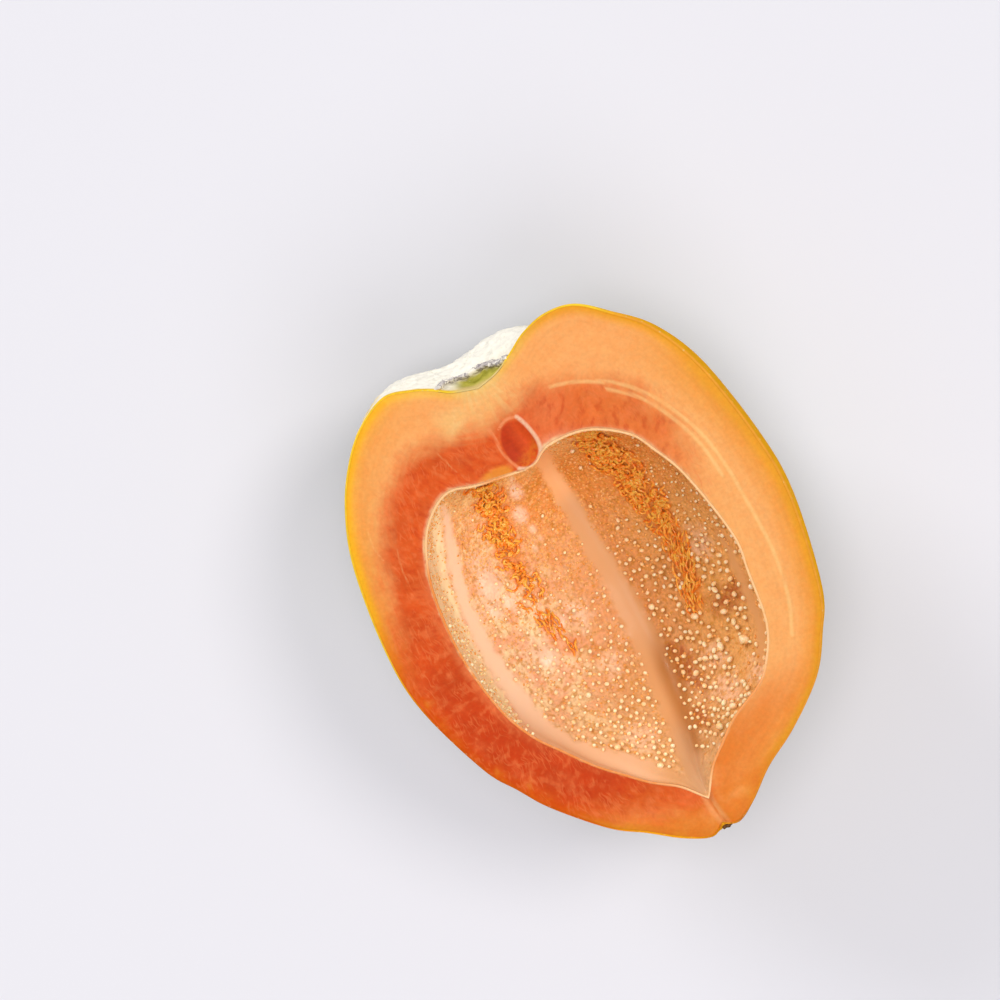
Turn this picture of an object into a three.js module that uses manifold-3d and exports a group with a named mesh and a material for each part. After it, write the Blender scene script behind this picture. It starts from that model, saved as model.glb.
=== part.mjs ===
// Half of a ripe papaya, cut lengthwise through stem and blossom end and emptied of its seeds, lying on
// its back with the cut face up. It grew as one piece, so it is one solid: the skin side, the cut face, the
// five-grooved seed cavity with its stubs of seed stalk, and the hollows at the stem and the blossom end.
//
// Units are millimetres and +Z is up, square to the cut face. The fruit's axis lies along Y, with the stem
// end at +Y and the blossom end at -Y. The origin is on the surface that the half rests on, under the
// middle of its outline.
import * as THREE from "three";
import { mergeVertices } from "three/addons/utils/BufferGeometryUtils.js";
import Module from "manifold-3d";

// ------------------------------------------------------------------------------------ driving dimensions

// The skin's outline in the cut plane, left and right of the axis, from the blossom end's dimple round the
// shoulder to the middle of the stem scar: [distance from the axis, place along the axis].
const SKIN_LEFT = [
  [0, -62.3], [4, -63.9], [10.6, -60.8], [18, -55.3], [26, -49.6], [36.4, -38.2], [41.6, -30.2],
  [46.9, -21.2], [53.2, -0.5], [53.9, 16], [50.3, 38.8], [44.5, 53.2], [37.2, 63.3], [30.1, 69.2],
  [22, 72.3], [15, 70.3], [10.2, 67.8], [6.2, 65], [0, 62.7],
];
const SKIN_RIGHT = [
  [0, -62.3], [4, -63.7], [9.7, -60.7], [17.3, -55], [27, -49.7], [38, -41.5], [44.4, -32.8],
  [49.7, -22.8], [54.7, 1], [54.6, 18], [51.1, 39.3], [45.3, 53.8], [38, 62.3], [31, 68.6],
  [23.5, 70.3], [16.5, 68.9], [10.8, 66], [5.6, 63.7], [0, 62.7],
];
// The seed cavity's outline in the cut plane, in the same way, from its pointed blossom end to its stem end.
const CAVITY_LEFT = [
  [0, -54.5], [4.6, -48.8], [10.7, -44.2], [15.8, -39.2], [21, -33.8], [26.2, -26.9], [31.4, -19.4],
  [35.1, -9.4], [36.9, 6], [35.5, 22], [32.3, 32], [27.5, 39.2], [20, 43.4], [11.5, 41.2], [0, 39],
];
const CAVITY_RIGHT = [
  [0, -54.5], [4.5, -48.3], [9.5, -44.2], [15.6, -39.8], [24.5, -35.8], [29.4, -31.2], [33.9, -23.1],
  [36.1, -10], [37.3, 0], [34.3, 18], [30.7, 27.4], [27, 34], [18.5, 39.9], [8.5, 41.3], [0, 39],
];
const AXIS_AT_WAIST = 1.25; // where the axis crosses the waist, to the right of the blossom end
const AXIS_LEAN = 0.018; // how far it leans to the right for each millimetre towards the stem

const CARPELS = 5; // the fruit has five carpels, each a lobe outside and a smooth groove inside
const CARPEL_PITCH = (2 * Math.PI) / CARPELS;
const CARPEL_ANGLE = THREE.MathUtils.degToRad(272); // the lowest carpel's middle; 270 is straight down
const SKIN_LOBE = 0.024; // swell of each lobe at the waist, as a share of the radius
const SHOULDER_LOBE = 0.045; // more swell at the stem end's shoulder
const SHOULDER_RISE = 1; // and how far each lobe rises along the axis there
const SHOULDER_FROM = 30; // the place along the axis where the shoulder's lobes begin
const SHOULDER_TO = 70;
const STEM_SCAR_RADIUS = 9; // the lobes die away towards the round scar that the stem left in its hollow
const SHOULDER_TWIST = THREE.MathUtils.degToRad(14); // the lobes turn a little on their way to the stem

const CAVITY_STAR = 0.022; // how far the cavity's five corners reach out, as a share of its radius
const GROOVE_DEPTH = 1.3; // the smooth groove along each corner
const GROOVE_HALF_ANGLE = THREE.MathUtils.degToRad(6.5);
const FIBRE_HEIGHT = 1.3; // the ragged seed-bearing ridge midway between two grooves
const FIBRE_HALF_ANGLE = THREE.MathUtils.degToRad(7);
const FIBRE_BEGINS = [-24, -14]; // where it rises out of the wall, along the axis, and sinks back into it
const FIBRE_ENDS = [36, 41];
const RELIEF_FROM_RADIUS = 12; // grooves and ridges die away at the cavity's two ends, within this radius

const POCKET_CENTRE = [3.5, 45.3]; // the oval pocket in the flesh above the cavity, a dish in the cut face
const POCKET_HALF = [4.1, 6.4, 0.9];

const STALK_COUNT = 165; // stubs of seed stalk left on the cavity's wall
const STALK_SHARE = [0.1, 0.86]; // how far along the cavity's outline they grow
const STALK_RADIUS = [0.8, 1.2];
const STALK_SPACING = 3.1;
const STALK_RIM_GAP = 1.6; // how far below the cut face the uppermost ones stay
const STALK_GROOVE_GAP = THREE.MathUtils.degToRad(8.5); // none grow in the smooth grooves
const STALK_SUNK = 0.3; // share of the radius that a stub's middle lies under the wall
const STALK_SEED = 7;

const DEPTH = 55; // from the cut face to the small flat spot that the half rests on
const BLOCK_SIDE = 200; // the block that the fruit is cut down to is wider than the fruit
const SKIN_MESH = [48, 50]; // sectors round the axis and rings along it
const CAVITY_MESH = [64, 42];

// ------------------------------------------------------------------------------------------ the surfaces

const { smoothstep, lerp, seededRandom } = THREE.MathUtils;
const wasm = await Module();
wasm.setup();

// A wave with one crest at each carpel. It is levelled to 0 in the cut plane, at 180 and 360 degrees, so
// that the outlines above hold there.
function carpelWave(angle, middle) {
  const wave = (at) => Math.cos(CARPELS * (at - middle));
  return wave(angle) - lerp(wave(Math.PI), wave(0), (1 + Math.cos(angle)) / 2);
}

// How far an angle is from the nearest carpel's middle.
function offCarpel(angle, middle = CARPEL_ANGLE) {
  const turned = THREE.MathUtils.euclideanModulo(angle - middle, CARPEL_PITCH);
  return Math.min(turned, CARPEL_PITCH - turned);
}

// A smooth hump that is 1 at 0 and fades out over a few half widths.
const hump = (off, half) => Math.exp(-((off / half) ** 2));

// The curve through an outline's points.
const outline = (points) => new THREE.SplineCurve(points.map(([r, y]) => new THREE.Vector2(r, y)));

// A surface swept round the axis from the left outline to the right one, which shape(radius, along, angle)
// may swell. It is a function of the share of the way along the outline and the angle round the axis.
function swept(left, right, shape) {
  const leftCurve = outline(left);
  const rightCurve = outline(right);
  return (share, angle) => {
    const l = leftCurve.getPoint(share);
    const r = rightCurve.getPoint(share);
    const rightness = (1 + Math.cos(angle)) / 2;
    const [radius, along] = shape(lerp(l.x, r.x, rightness), lerp(l.y, r.y, rightness), angle);
    return new THREE.Vector3(
      AXIS_AT_WAIST + AXIS_LEAN * along + radius * Math.cos(angle),
      along,
      radius * Math.sin(angle),
    );
  };
}

// The skin has five soft lobes, which stand out most round the stem.
const skin = swept(SKIN_LEFT, SKIN_RIGHT, (radius, along, angle) => {
  const shoulder = smoothstep(along, SHOULDER_FROM, SHOULDER_TO);
  const offScar = smoothstep(radius, 0, 2 * STEM_SCAR_RADIUS);
  const wave = offScar * carpelWave(angle, CARPEL_ANGLE + SHOULDER_TWIST * shoulder);
  const swell = (SKIN_LOBE + SHOULDER_LOBE * shoulder) * wave;
  return [radius * (1 + swell), along + SHOULDER_RISE * shoulder * wave];
});

// The cavity has five corners, with a smooth groove in each and a ragged seed-bearing ridge midway between.
function cavityWall(radius, along, angle, ragged) {
  const groove = GROOVE_DEPTH * hump(offCarpel(angle), GROOVE_HALF_ANGLE);
  const star = radius * CAVITY_STAR * carpelWave(angle, CARPEL_ANGLE);
  const onFibre = smoothstep(along, ...FIBRE_BEGINS) * (1 - smoothstep(along, ...FIBRE_ENDS));
  const offFibre = offCarpel(angle, CARPEL_ANGLE + CARPEL_PITCH / 2);
  const fibre = FIBRE_HEIGHT * ragged * onFibre * hump(offFibre, FIBRE_HALF_ANGLE);
  const width = smoothstep(radius, 0, RELIEF_FROM_RADIUS);
  return [radius + star + (groove - fibre) * width, along];
}
const cavity = swept(CAVITY_LEFT, CAVITY_RIGHT, (radius, along, angle) => {
  const ragged = 0.6 + 0.4 * Math.sin(1.9 * along + 5 * Math.sin(11 * angle));
  return cavityWall(radius, along, angle, ragged);
});
const plainCavity = swept(CAVITY_LEFT, CAVITY_RIGHT, (radius, along, angle) => {
  return cavityWall(radius, along, angle, 0.5);
});

// -------------------------------------------------------------------------------------------- the solids

// A closed geometry as a solid.
function solidOf(geometry) {
  const bare = new THREE.BufferGeometry().setAttribute("position", geometry.getAttribute("position"));
  bare.setIndex(geometry.index);
  const merged = mergeVertices(bare, 1e-4);
  const vertProperties = merged.getAttribute("position").array;
  const triVerts = new Uint32Array(merged.index.array);
  return new wasm.Manifold(new wasm.Mesh({ numProp: 3, vertProperties, triVerts }));
}

// A solid as a geometry.
function geometryOf(solid) {
  const { vertProperties, triVerts } = solid.getMesh();
  const geometry = new THREE.BufferGeometry();
  geometry.setAttribute("position", new THREE.BufferAttribute(vertProperties, 3));
  geometry.setIndex(new THREE.BufferAttribute(triVerts, 1));
  geometry.computeVertexNormals();
  return geometry;
}

// The closed body inside a swept surface, as a lathe whose vertices are moved onto that surface.
function sweptBody(surface, [sectors, rings]) {
  const spindle = Array.from({ length: rings + 1 }, (_, i) => {
    return new THREE.Vector2(Math.sin((Math.PI * i) / rings), i);
  });
  const lathe = new THREE.LatheGeometry(spindle, sectors);
  const position = lathe.getAttribute("position");
  for (let i = 0; i < position.count; i++) {
    const ring = i % (rings + 1);
    const sector = Math.floor(i / (rings + 1)) % sectors;
    // half a sector off, so that the cut plane runs between two rows of vertices
    const angle = Math.PI / 2 - (2 * Math.PI * (sector + 0.5)) / sectors;
    const onAxis = ring === 0 || ring === rings;
    position.setXYZ(i, ...surface(ring / rings, onAxis ? 0 : angle).toArray());
  }
  return solidOf(lathe);
}

// The shallow oval dish in the cut face above the cavity.
function pocketDish() {
  const dish = new THREE.SphereGeometry(1, 16, 8).scale(...POCKET_HALF);
  return solidOf(dish.translate(...POCKET_CENTRE, 0));
}

// The wall's point at (share, angle) and the direction out of the flesh there, towards the axis.
function wallFrame(share, angle) {
  const step = 1e-3;
  const at = plainCavity(share, angle);
  const alongWall = plainCavity(share + step, angle).sub(at);
  const roundWall = plainCavity(share, angle + step).sub(at);
  return { at, out: alongWall.cross(roundWall).normalize() };
}

// The stubs of seed stalk: small beads on the wall, at least a spacing apart and clear of the grooves.
function stalkBeads() {
  seededRandom(STALK_SEED);
  const placed = [];
  while (placed.length < STALK_COUNT) {
    const share = lerp(...STALK_SHARE, seededRandom());
    const angle = Math.PI * (1 + seededRandom());
    const radius = lerp(...STALK_RADIUS, seededRandom());
    const turn = seededRandom() * Math.PI;
    if (offCarpel(angle) < STALK_GROOVE_GAP) continue;
    const { at, out } = wallFrame(share, angle);
    if (at.z > -STALK_RIM_GAP) continue;
    if (placed.some((bead) => bead.at.distanceTo(at) < STALK_SPACING)) continue;
    placed.push({ at, out, radius, turn });
  }
  return placed.map(({ at, out, radius, turn }) => {
    const pose = new THREE.Quaternion().setFromUnitVectors(new THREE.Vector3(0, 1, 0), out);
    const bead = new THREE.OctahedronGeometry(radius).rotateY(turn).applyQuaternion(pose);
    const middle = at.addScaledVector(out, -STALK_SUNK * radius);
    return solidOf(bead.translate(...middle.toArray()));
  });
}

// The whole fruit, hollowed, with its beads, cut down to the half below the cut plane and flattened where
// it rests.
function papayaHalf() {
  const fruit = sweptBody(skin, SKIN_MESH);
  const hollowed = fruit.subtract(sweptBody(cavity, CAVITY_MESH)).subtract(pocketDish());
  const block = new THREE.BoxGeometry(BLOCK_SIDE, BLOCK_SIDE, DEPTH).translate(0, 0, -DEPTH / 2);
  return wasm.Manifold.union([hollowed, ...stalkBeads()]).intersect(solidOf(block));
}

const geometry = geometryOf(papayaHalf());
geometry.computeBoundingBox();
const { min, max } = geometry.boundingBox;
geometry.translate(-(min.x + max.x) / 2, -(min.y + max.y) / 2, -min.z);

const ripeFlesh = new THREE.MeshStandardMaterial({ color: "#f28a44", roughness: 0.45, metalness: 0 });
const half = new THREE.Mesh(geometry, ripeFlesh);
half.name = "papaya_half";

const part = new THREE.Group();
part.add(half);

export default part;
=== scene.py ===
"""Half of a ripe papaya, emptied of its seeds, lying on its back with the cut face up.

The half is modelled in millimetres in the fruit's own frame: the axis runs along Y with the stem end at
+Y, the cut plane is z = 0 and the flesh lies below it. A finished piece is moved into the part's frame.
"""

from __future__ import annotations

import logging
import math
from dataclasses import dataclass, field
from enum import Enum
from functools import partial, reduce
from itertools import product
from typing import Any, Callable, Sequence

import bmesh
import bpy
import numpy as np
from mathutils import Matrix, Vector, noise
from mathutils.kdtree import KDTree

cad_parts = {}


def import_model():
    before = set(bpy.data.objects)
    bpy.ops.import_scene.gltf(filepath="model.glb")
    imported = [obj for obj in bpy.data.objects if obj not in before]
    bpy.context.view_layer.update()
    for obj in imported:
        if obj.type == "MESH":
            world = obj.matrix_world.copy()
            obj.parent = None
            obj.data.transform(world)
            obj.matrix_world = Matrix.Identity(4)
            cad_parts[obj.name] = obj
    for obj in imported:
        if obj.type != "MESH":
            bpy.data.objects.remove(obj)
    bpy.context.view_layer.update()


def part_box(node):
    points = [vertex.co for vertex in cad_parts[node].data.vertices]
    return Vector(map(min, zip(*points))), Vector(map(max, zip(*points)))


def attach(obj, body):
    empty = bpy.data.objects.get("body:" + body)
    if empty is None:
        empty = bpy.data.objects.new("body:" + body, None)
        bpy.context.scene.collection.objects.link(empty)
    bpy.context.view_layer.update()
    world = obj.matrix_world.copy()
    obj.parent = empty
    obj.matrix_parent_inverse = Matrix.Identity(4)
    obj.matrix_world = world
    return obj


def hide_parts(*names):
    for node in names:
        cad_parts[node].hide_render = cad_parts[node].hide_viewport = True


LOG = logging.getLogger("papaya")
NODE = "papaya_half"
BODY = "root"
MM = 0.001

NOISE_LOW, NOISE_HIGH = 0.28, 0.72  # nearly all of a noise pattern lies between these
HALF = 0.5  # the middle of a noise pattern
SAME_PLACE = 1e-4  # vertices nearer than this, in mm, are one
ROUND = 2 * math.pi
BATCH = 30  # how many small shapes are made at a time
LOWEST = -55.0  # where the fruit is flat enough to rest, in mm

Array = np.ndarray
Pair = tuple[float, float]
Trio = tuple[float, float, float]
Patch = tuple[float, float, float, float]
Points = tuple[Pair, ...]
Sets = tuple[Trio, ...]
Patches = tuple[Patch, ...]


# ---- small helpers


def linear(hex_colour: str) -> tuple[float, float, float, float]:
    """Turns an sRGB colour into the linear one that a shader takes.

    Args:
        hex_colour: the colour as "#rrggbb".

    Returns:
        Linear red, green, blue and an alpha of 1.
    """
    parts = [int(hex_colour[i : i + 2], 16) / 255 for i in (1, 3, 5)]
    red, green, blue = (c / 12.92 if c <= 0.04045 else ((c + 0.055) / 1.055) ** 2.4 for c in parts)
    return red, green, blue, 1.0


def smoothstep(low: float, high: float, value: Array) -> Array:
    """Rises smoothly from 0 at low to 1 at high."""
    t = np.clip((np.asarray(value, float) - low) / (high - low), 0.0, 1.0)
    return t * t * (3 - 2 * t)


def hump(off: Array, half_width: float) -> Array:
    """A soft bump that is 1 at 0 and fades out over a few half widths."""
    return np.exp(-((np.asarray(off, float) / half_width) ** 2))


def cloud(points: Array, grain: float, seed: float = 0.0) -> Array:
    """A smooth random value from about -1 to 1 for each place, in lumps of the grain's size."""
    return np.array([noise.noise(Vector(p) / grain + Vector((seed, seed, seed))) for p in points])


def distance_to(points: Array, line: Array) -> Array:
    """How far each place in the cut plane is from a line.

    Args:
        points: places, of which x and y are used.
        line: the line's corners, in order.

    Returns:
        One distance for each place.
    """
    best = np.full(len(points), np.inf)
    for start, end in zip(line[:-1], line[1:]):
        run = end - start
        along = ((points[:, :2] - start) @ run) / max(float(run @ run), 1e-12)
        nearest = start + np.clip(along, 0, 1)[:, None] * run
        best = np.minimum(best, np.linalg.norm(points[:, :2] - nearest, axis=1))
    return best


def inside(points: Array, loop: Array) -> Array:
    """Whether each place in the cut plane lies inside a closed line.

    Args:
        points: places, of which x and y are used.
        loop: the line's corners, the last of which is the first again.

    Returns:
        True or False for each place.
    """
    x, y = points[:, 0], points[:, 1]
    crossed = np.zeros(len(points), bool)
    for (x0, y0), (x1, y1) in zip(loop[:-1], loop[1:]):
        if y0 == y1:
            continue
        between = (y0 > y) != (y1 > y)
        crossed ^= between & (x < (x1 - x0) * (y - y0) / (y1 - y0) + x0)
    return crossed


@dataclass(frozen=True)
class Outline:
    """A smooth line through given points."""

    points: Points

    def at(self, share: Array) -> Array:
        """Places on the line.

        Args:
            share: how far along the line's points each place is, from 0 to 1.

        Returns:
            One row of two coordinates for each place.
        """
        given = np.array(self.points, float)
        last = len(given) - 1
        place = np.clip(np.asarray(share, float), 0, 1) * last
        first = np.minimum(np.floor(place).astype(int), last - 1)
        t = (place - first)[..., None]
        p0, p1 = given[np.maximum(first - 1, 0)], given[first]
        p2, p3 = given[first + 1], given[np.minimum(first + 2, last)]
        v0, v1 = (p2 - p0) / 2, (p3 - p1) / 2
        cubic, square = 2 * p1 - 2 * p2 + v0 + v1, -3 * p1 + 3 * p2 - 2 * v0 - v1
        return cubic * t**3 + square * t**2 + v0 * t + p1

    def line(self, steps: int = 240) -> Array:
        """The whole line as corners close together."""
        return self.at(np.linspace(0, 1, steps + 1))


# ---- the fruit's surfaces


@dataclass(frozen=True)
class Growth:
    """How the fruit grew: a leaning axis, and five carpels round it.

    Angles are in radians round the axis. 180 and 360 degrees lie in the cut plane, on the left and the right,
    and 270 degrees is straight down.
    """

    axis_at_waist: float = 1.25
    axis_lean: float = 0.018
    carpels: int = 5
    carpel_angle: float = math.radians(272)

    @property
    def pitch(self) -> float:
        """The angle from one carpel to the next."""
        return ROUND / self.carpels

    @property
    def ridge_angle(self) -> float:
        """Midway between two carpels, where the seeds grew."""
        return self.carpel_angle + self.pitch / 2

    def place(self, radius: Array, along: Array, angle: Array) -> Array:
        """Turns a distance from the axis, a place along it and an angle round it into x, y and z."""
        x = self.axis_at_waist + self.axis_lean * along + radius * np.cos(angle)
        return np.stack([x, along, radius * np.sin(angle)], axis=-1)

    def angle_of(self, points: Array) -> Array:
        """The angle round the axis of each place, from 180 to 360 degrees below the cut plane."""
        across = points[:, 0] - self.axis_at_waist - self.axis_lean * points[:, 1]
        return np.mod(np.arctan2(points[:, 2], across), ROUND)

    def _crests(self, angle: Array | float, middle: Array) -> Array:
        """A plain wave with one crest at each carpel."""
        return np.cos(self.carpels * (angle - middle))

    def wave(self, angle: Array, middle: Array) -> Array:
        """A wave with one crest at each carpel, levelled to 0 in the cut plane so that the outlines hold.

        Args:
            angle: the angle round the axis, in radians.
            middle: the angle of one crest.

        Returns:
            The wave's height at each angle.
        """
        right = (1 + np.cos(angle)) / 2
        level = self._crests(math.pi, middle) * (1 - right) + self._crests(0.0, middle) * right
        return self._crests(angle, middle) - level

    def off(self, angle: Array, middle: float) -> Array:
        """How far an angle is from the nearest of five directions, in radians."""
        turned = np.mod(angle - middle, self.pitch)
        return np.minimum(turned, self.pitch - turned)


@dataclass(frozen=True)
class Wall:
    """A surface swept round the axis from its outline on the left to its outline on the right."""

    growth: Growth
    left: Outline
    right: Outline
    pole: float = 2.0

    def relief(self, radius: Array, along: Array, angle: Array) -> tuple[Array, Array]:
        """Swells the plain surface. This one leaves it as it is."""
        return radius, along

    def profile(self, share: Array, angle: Array) -> Array:
        """Distance from the axis and place along it.

        Args:
            share: how far along the outline, from the blossom end at 0 to the stem end at 1.
            angle: the angle round the axis, in radians.

        Returns:
            Pairs of radius and place along the axis.
        """
        right = ((1 + np.cos(angle)) / 2)[..., None]
        plain = self.left.at(share) * (1 - right) + self.right.at(share) * right
        return np.stack(self.relief(plain[..., 0], plain[..., 1], angle), axis=-1)

    def points(self, share: Array, angle: Array, out: float = 0.0) -> Array:
        """Places on the surface, or on one a little further from the axis.

        Args:
            share: how far along the outline, from 0 to 1.
            angle: the angle round the axis, in radians.
            out: how far outside the surface the places lie, in mm.

        Returns:
            x, y and z of each place.
        """
        share, angle = np.broadcast_arrays(np.asarray(share, float), np.asarray(angle, float))
        at = self.profile(share, angle)
        if out:
            step = 1e-3
            run = self.profile(share + step, angle) - self.profile(share - step, angle)
            run /= np.maximum(np.linalg.norm(run, axis=-1, keepdims=True), 1e-9)
            aside = run[..., 1] * smoothstep(0, self.pole, at[..., 0])
            ahead = np.copysign(np.sqrt(1 - aside**2), -run[..., 0])
            at = at + out * np.stack([aside, ahead], axis=-1)
            at[..., 0] = np.maximum(at[..., 0], 0.0)
        return self.growth.place(at[..., 0], at[..., 1], angle)

    def layer(self, share: Array, angle: Array, out: float = 0.0) -> Array:
        """The same as points, but from the share of the outline's length, which spreads them evenly."""
        return self.points(self.even(share), angle, out)

    def normals(self, share: Array, angle: Array) -> Array:
        """The direction at each place that points away from the axis.

        Args:
            share: how far along the outline, from 0 to 1.
            angle: the angle round the axis, in radians.

        Returns:
            A unit vector for each place.
        """
        step = 2e-3
        along = self.points(share + step, angle) - self.points(share - step, angle)
        around = self.points(share, angle + step) - self.points(share, angle - step)
        normal = np.cross(along, around)
        return normal / np.maximum(np.linalg.norm(normal, axis=-1, keepdims=True), 1e-12)

    def even(self, share: Array) -> Array:
        """Turns a share of the outline's length into a share of its points.

        Args:
            share: the share of the length, from 0 to 1.

        Returns:
            The share of the points, from 0 to 1.
        """
        fine = np.linspace(0, 1, 800)
        middle = (self.left.at(fine) + self.right.at(fine)) / 2
        length = np.concatenate([[0.0], np.cumsum(np.linalg.norm(np.diff(middle, axis=0), axis=1))])
        return np.interp(share, length / length[-1], fine)

    def rim(self, corners: int = 241) -> Array:
        """The surface's outline in the cut plane.

        Args:
            corners: how many corners each side has.

        Returns:
            x and y of each corner, the last of which is the first again.
        """
        share = self.even(np.linspace(0, 1, corners))
        right = self.points(share, np.full(corners, ROUND))
        left = self.points(share[::-1], np.full(corners, math.pi))
        return np.concatenate([right, left[1:]])[:, :2]


@dataclass(frozen=True)
class SkinWall(Wall):
    """The outside of the fruit: five soft lobes that stand out most round the stem."""

    lobe: float = 0.024
    shoulder_lobe: float = 0.045
    shoulder_rise: float = 1.0
    shoulder_span: Pair = (30.0, 70.0)
    shoulder_twist: float = math.radians(14)
    scar_radius: float = 9.0

    def relief(self, radius: Array, along: Array, angle: Array) -> tuple[Array, Array]:
        """Adds the lobes, which fade out towards the stem scar.

        Args:
            radius: distance from the axis.
            along: place along the axis.
            angle: the angle round it, in radians.

        Returns:
            The new radius and place along the axis.
        """
        shoulder = smoothstep(*self.shoulder_span, along)
        off_scar = smoothstep(0, 2 * self.scar_radius, radius)
        wave = off_scar * self.growth.wave(angle, self.growth.carpel_angle + self.shoulder_twist * shoulder)
        swell = (self.lobe + self.shoulder_lobe * shoulder) * wave
        return radius * (1 + swell), along + self.shoulder_rise * shoulder * wave


@dataclass(frozen=True)
class CavityWall(Wall):
    """The seed cavity: a smooth groove in each of five corners and a seed-bearing ridge between every two."""

    star: float = 0.022
    blossom_star: float = 0.03
    blossom_span: Pair = (10.0, -20.0)
    groove_depth: float = 1.5
    groove_half_angle: float = math.radians(6.5)
    ridge_angles: Pair = (math.radians(238), math.radians(301))
    ridge_height: float = 0.7
    ridge_half_angle: float = math.radians(7)
    ridge_begins: Pair = (-20.0, -6.0)
    ridge_ends: Pair = (36.0, 41.0)
    relief_radius: float = 12.0
    pocket_dip: float = 1.0
    dip_radius: float = 3.5
    dip_half_width: float = 2.2
    dip_half_angle: float = 0.6
    dip_begins: Pair = (30.0, 38.0)

    def relief(self, radius: Array, along: Array, angle: Array) -> tuple[Array, Array]:
        """Adds the five corners, the grooves and the ridges, and the dip under the pocket in the face.

        Args:
            radius: distance from the axis.
            along: place along the axis.
            angle: the angle round it, in radians.

        Returns:
            The new radius and place along the axis.
        """
        growth = self.growth
        points = self.star + self.blossom_star * smoothstep(*self.blossom_span, along)
        star = radius * points * growth.wave(angle, growth.carpel_angle)
        groove = self.groove_depth * hump(growth.off(angle, growth.carpel_angle), self.groove_half_angle)
        on_ridge = smoothstep(*self.ridge_begins, along) * (1 - smoothstep(*self.ridge_ends, along))
        near = np.min([np.abs(angle - ridge) for ridge in self.ridge_angles], axis=0)
        ridge = self.ridge_height * on_ridge * hump(near, self.ridge_half_angle)
        dip = self.pocket_dip * hump(radius - self.dip_radius, self.dip_half_width)
        dip = dip * smoothstep(*self.dip_begins, along) * hump(angle - ROUND, self.dip_half_angle)
        return radius + star + (groove - ridge) * smoothstep(0, self.relief_radius, radius), along - dip


GROWTH = Growth()
SKIN = SkinWall(
    growth=GROWTH,
    left=Outline(
        (
            (0, -62.3), (4, -63.9), (10.6, -60.8), (18, -55.3), (26, -49.6), (36.4, -38.2), (41.6, -30.2),
            (46.9, -21.2), (53.2, -0.5), (53.9, 16), (50.3, 38.8), (44.5, 53.2), (37.2, 63.3), (30.1, 69.2),
            (22, 72.3), (15, 70.3), (10.2, 67.8), (6.2, 65), (0, 62.7),
        )
    ),
    right=Outline(
        (
            (0, -62.3), (4, -63.7), (9.7, -60.7), (17.3, -55), (27, -49.7), (38, -41.5), (44.4, -32.8),
            (49.7, -22.8), (54.7, 1), (54.6, 18), (51.1, 39.3), (45.3, 53.8), (38, 62.3), (31, 68.6),
            (23.5, 70.3), (16.5, 68.9), (10.8, 66), (5.6, 63.7), (0, 62.7),
        )
    ),
)
CAVITY = CavityWall(
    growth=GROWTH,
    left=Outline(
        (
            (0, -54.5), (4.6, -48.8), (10.7, -44.2), (15.8, -39.2), (21, -33.8), (26.2, -26.9), (31.4, -19.4),
            (35.1, -9.4), (36.9, 6), (35.5, 22), (32.3, 32), (27.5, 39.2), (20, 43.4), (11.5, 41.2), (0, 39),
        )
    ),
    right=Outline(
        (
            (0, -54.5), (4.5, -48.3), (9.5, -44.2), (15.6, -39.8), (24.5, -35.8), (29.4, -31.2),
            (33.9, -23.1), (36.1, -10), (37.3, 0), (34.3, 18), (30.7, 27.4), (27, 34), (18.5, 39.9),
            (8.5, 41.3), (0, 39),
        )
    ),
)


@dataclass(frozen=True)
class View:
    """Where the camera stands: above the cut face, leaning a little to the right and towards the stem."""

    aim: Pair = (-7.11, 35.78)
    lean_right: float = math.radians(11)
    lean_stem: float = math.radians(4)
    roll: float = math.radians(30.42)
    distance: float = 800.0
    lens: float = 116.15

    @property
    def back(self) -> Vector:
        """The direction from the aim to the camera."""
        return Vector((math.tan(self.lean_right), math.tan(self.lean_stem), 1)).normalized()

    def on_face(self, places: Array) -> Array:
        """Where each place shows against the cut plane, to set out from above what lies in the cavity.

        Args:
            places: places in the fruit's frame.

        Returns:
            x and y in the cut plane for each place.
        """
        eye = np.array([*self.aim, 0.0]) + np.array(self.back) * self.distance
        reach = eye[2] / (eye[2] - places[:, 2])
        return eye[:2] + (places[:, :2] - eye[:2]) * reach[:, None]


VIEW = View()


@dataclass(frozen=True)
class Strip:
    """A strip on the cavity's wall, as seen from above: its middle line and half its width at even steps."""

    middle: Points
    half: tuple[float, ...]
    steps: int = 48

    def outside(self, places: Array) -> Array:
        """How far each place on the wall shows outside the strip.

        Args:
            places: places in the fruit's frame.

        Returns:
            The distance in mm, negative inside the strip.
        """
        seen = VIEW.on_face(places)
        line = Outline(self.middle).line(self.steps)
        share = np.linspace(0, 1, self.steps + 1)
        halves = np.interp(share, np.linspace(0, 1, len(self.half)), self.half)
        best, half = np.full(len(seen), np.inf), np.zeros(len(seen))
        for start, end, first, last in zip(line[:-1], line[1:], halves[:-1], halves[1:]):
            run = end - start
            along = np.clip(((seen - start) @ run) / max(float(run @ run), 1e-12), 0, 1)
            away = np.linalg.norm(seen - start - along[:, None] * run, axis=1)
            nearer = away < best
            best = np.where(nearer, away, best)
            half = np.where(nearer, first + (last - first) * along, half)
        return best - half


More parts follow.
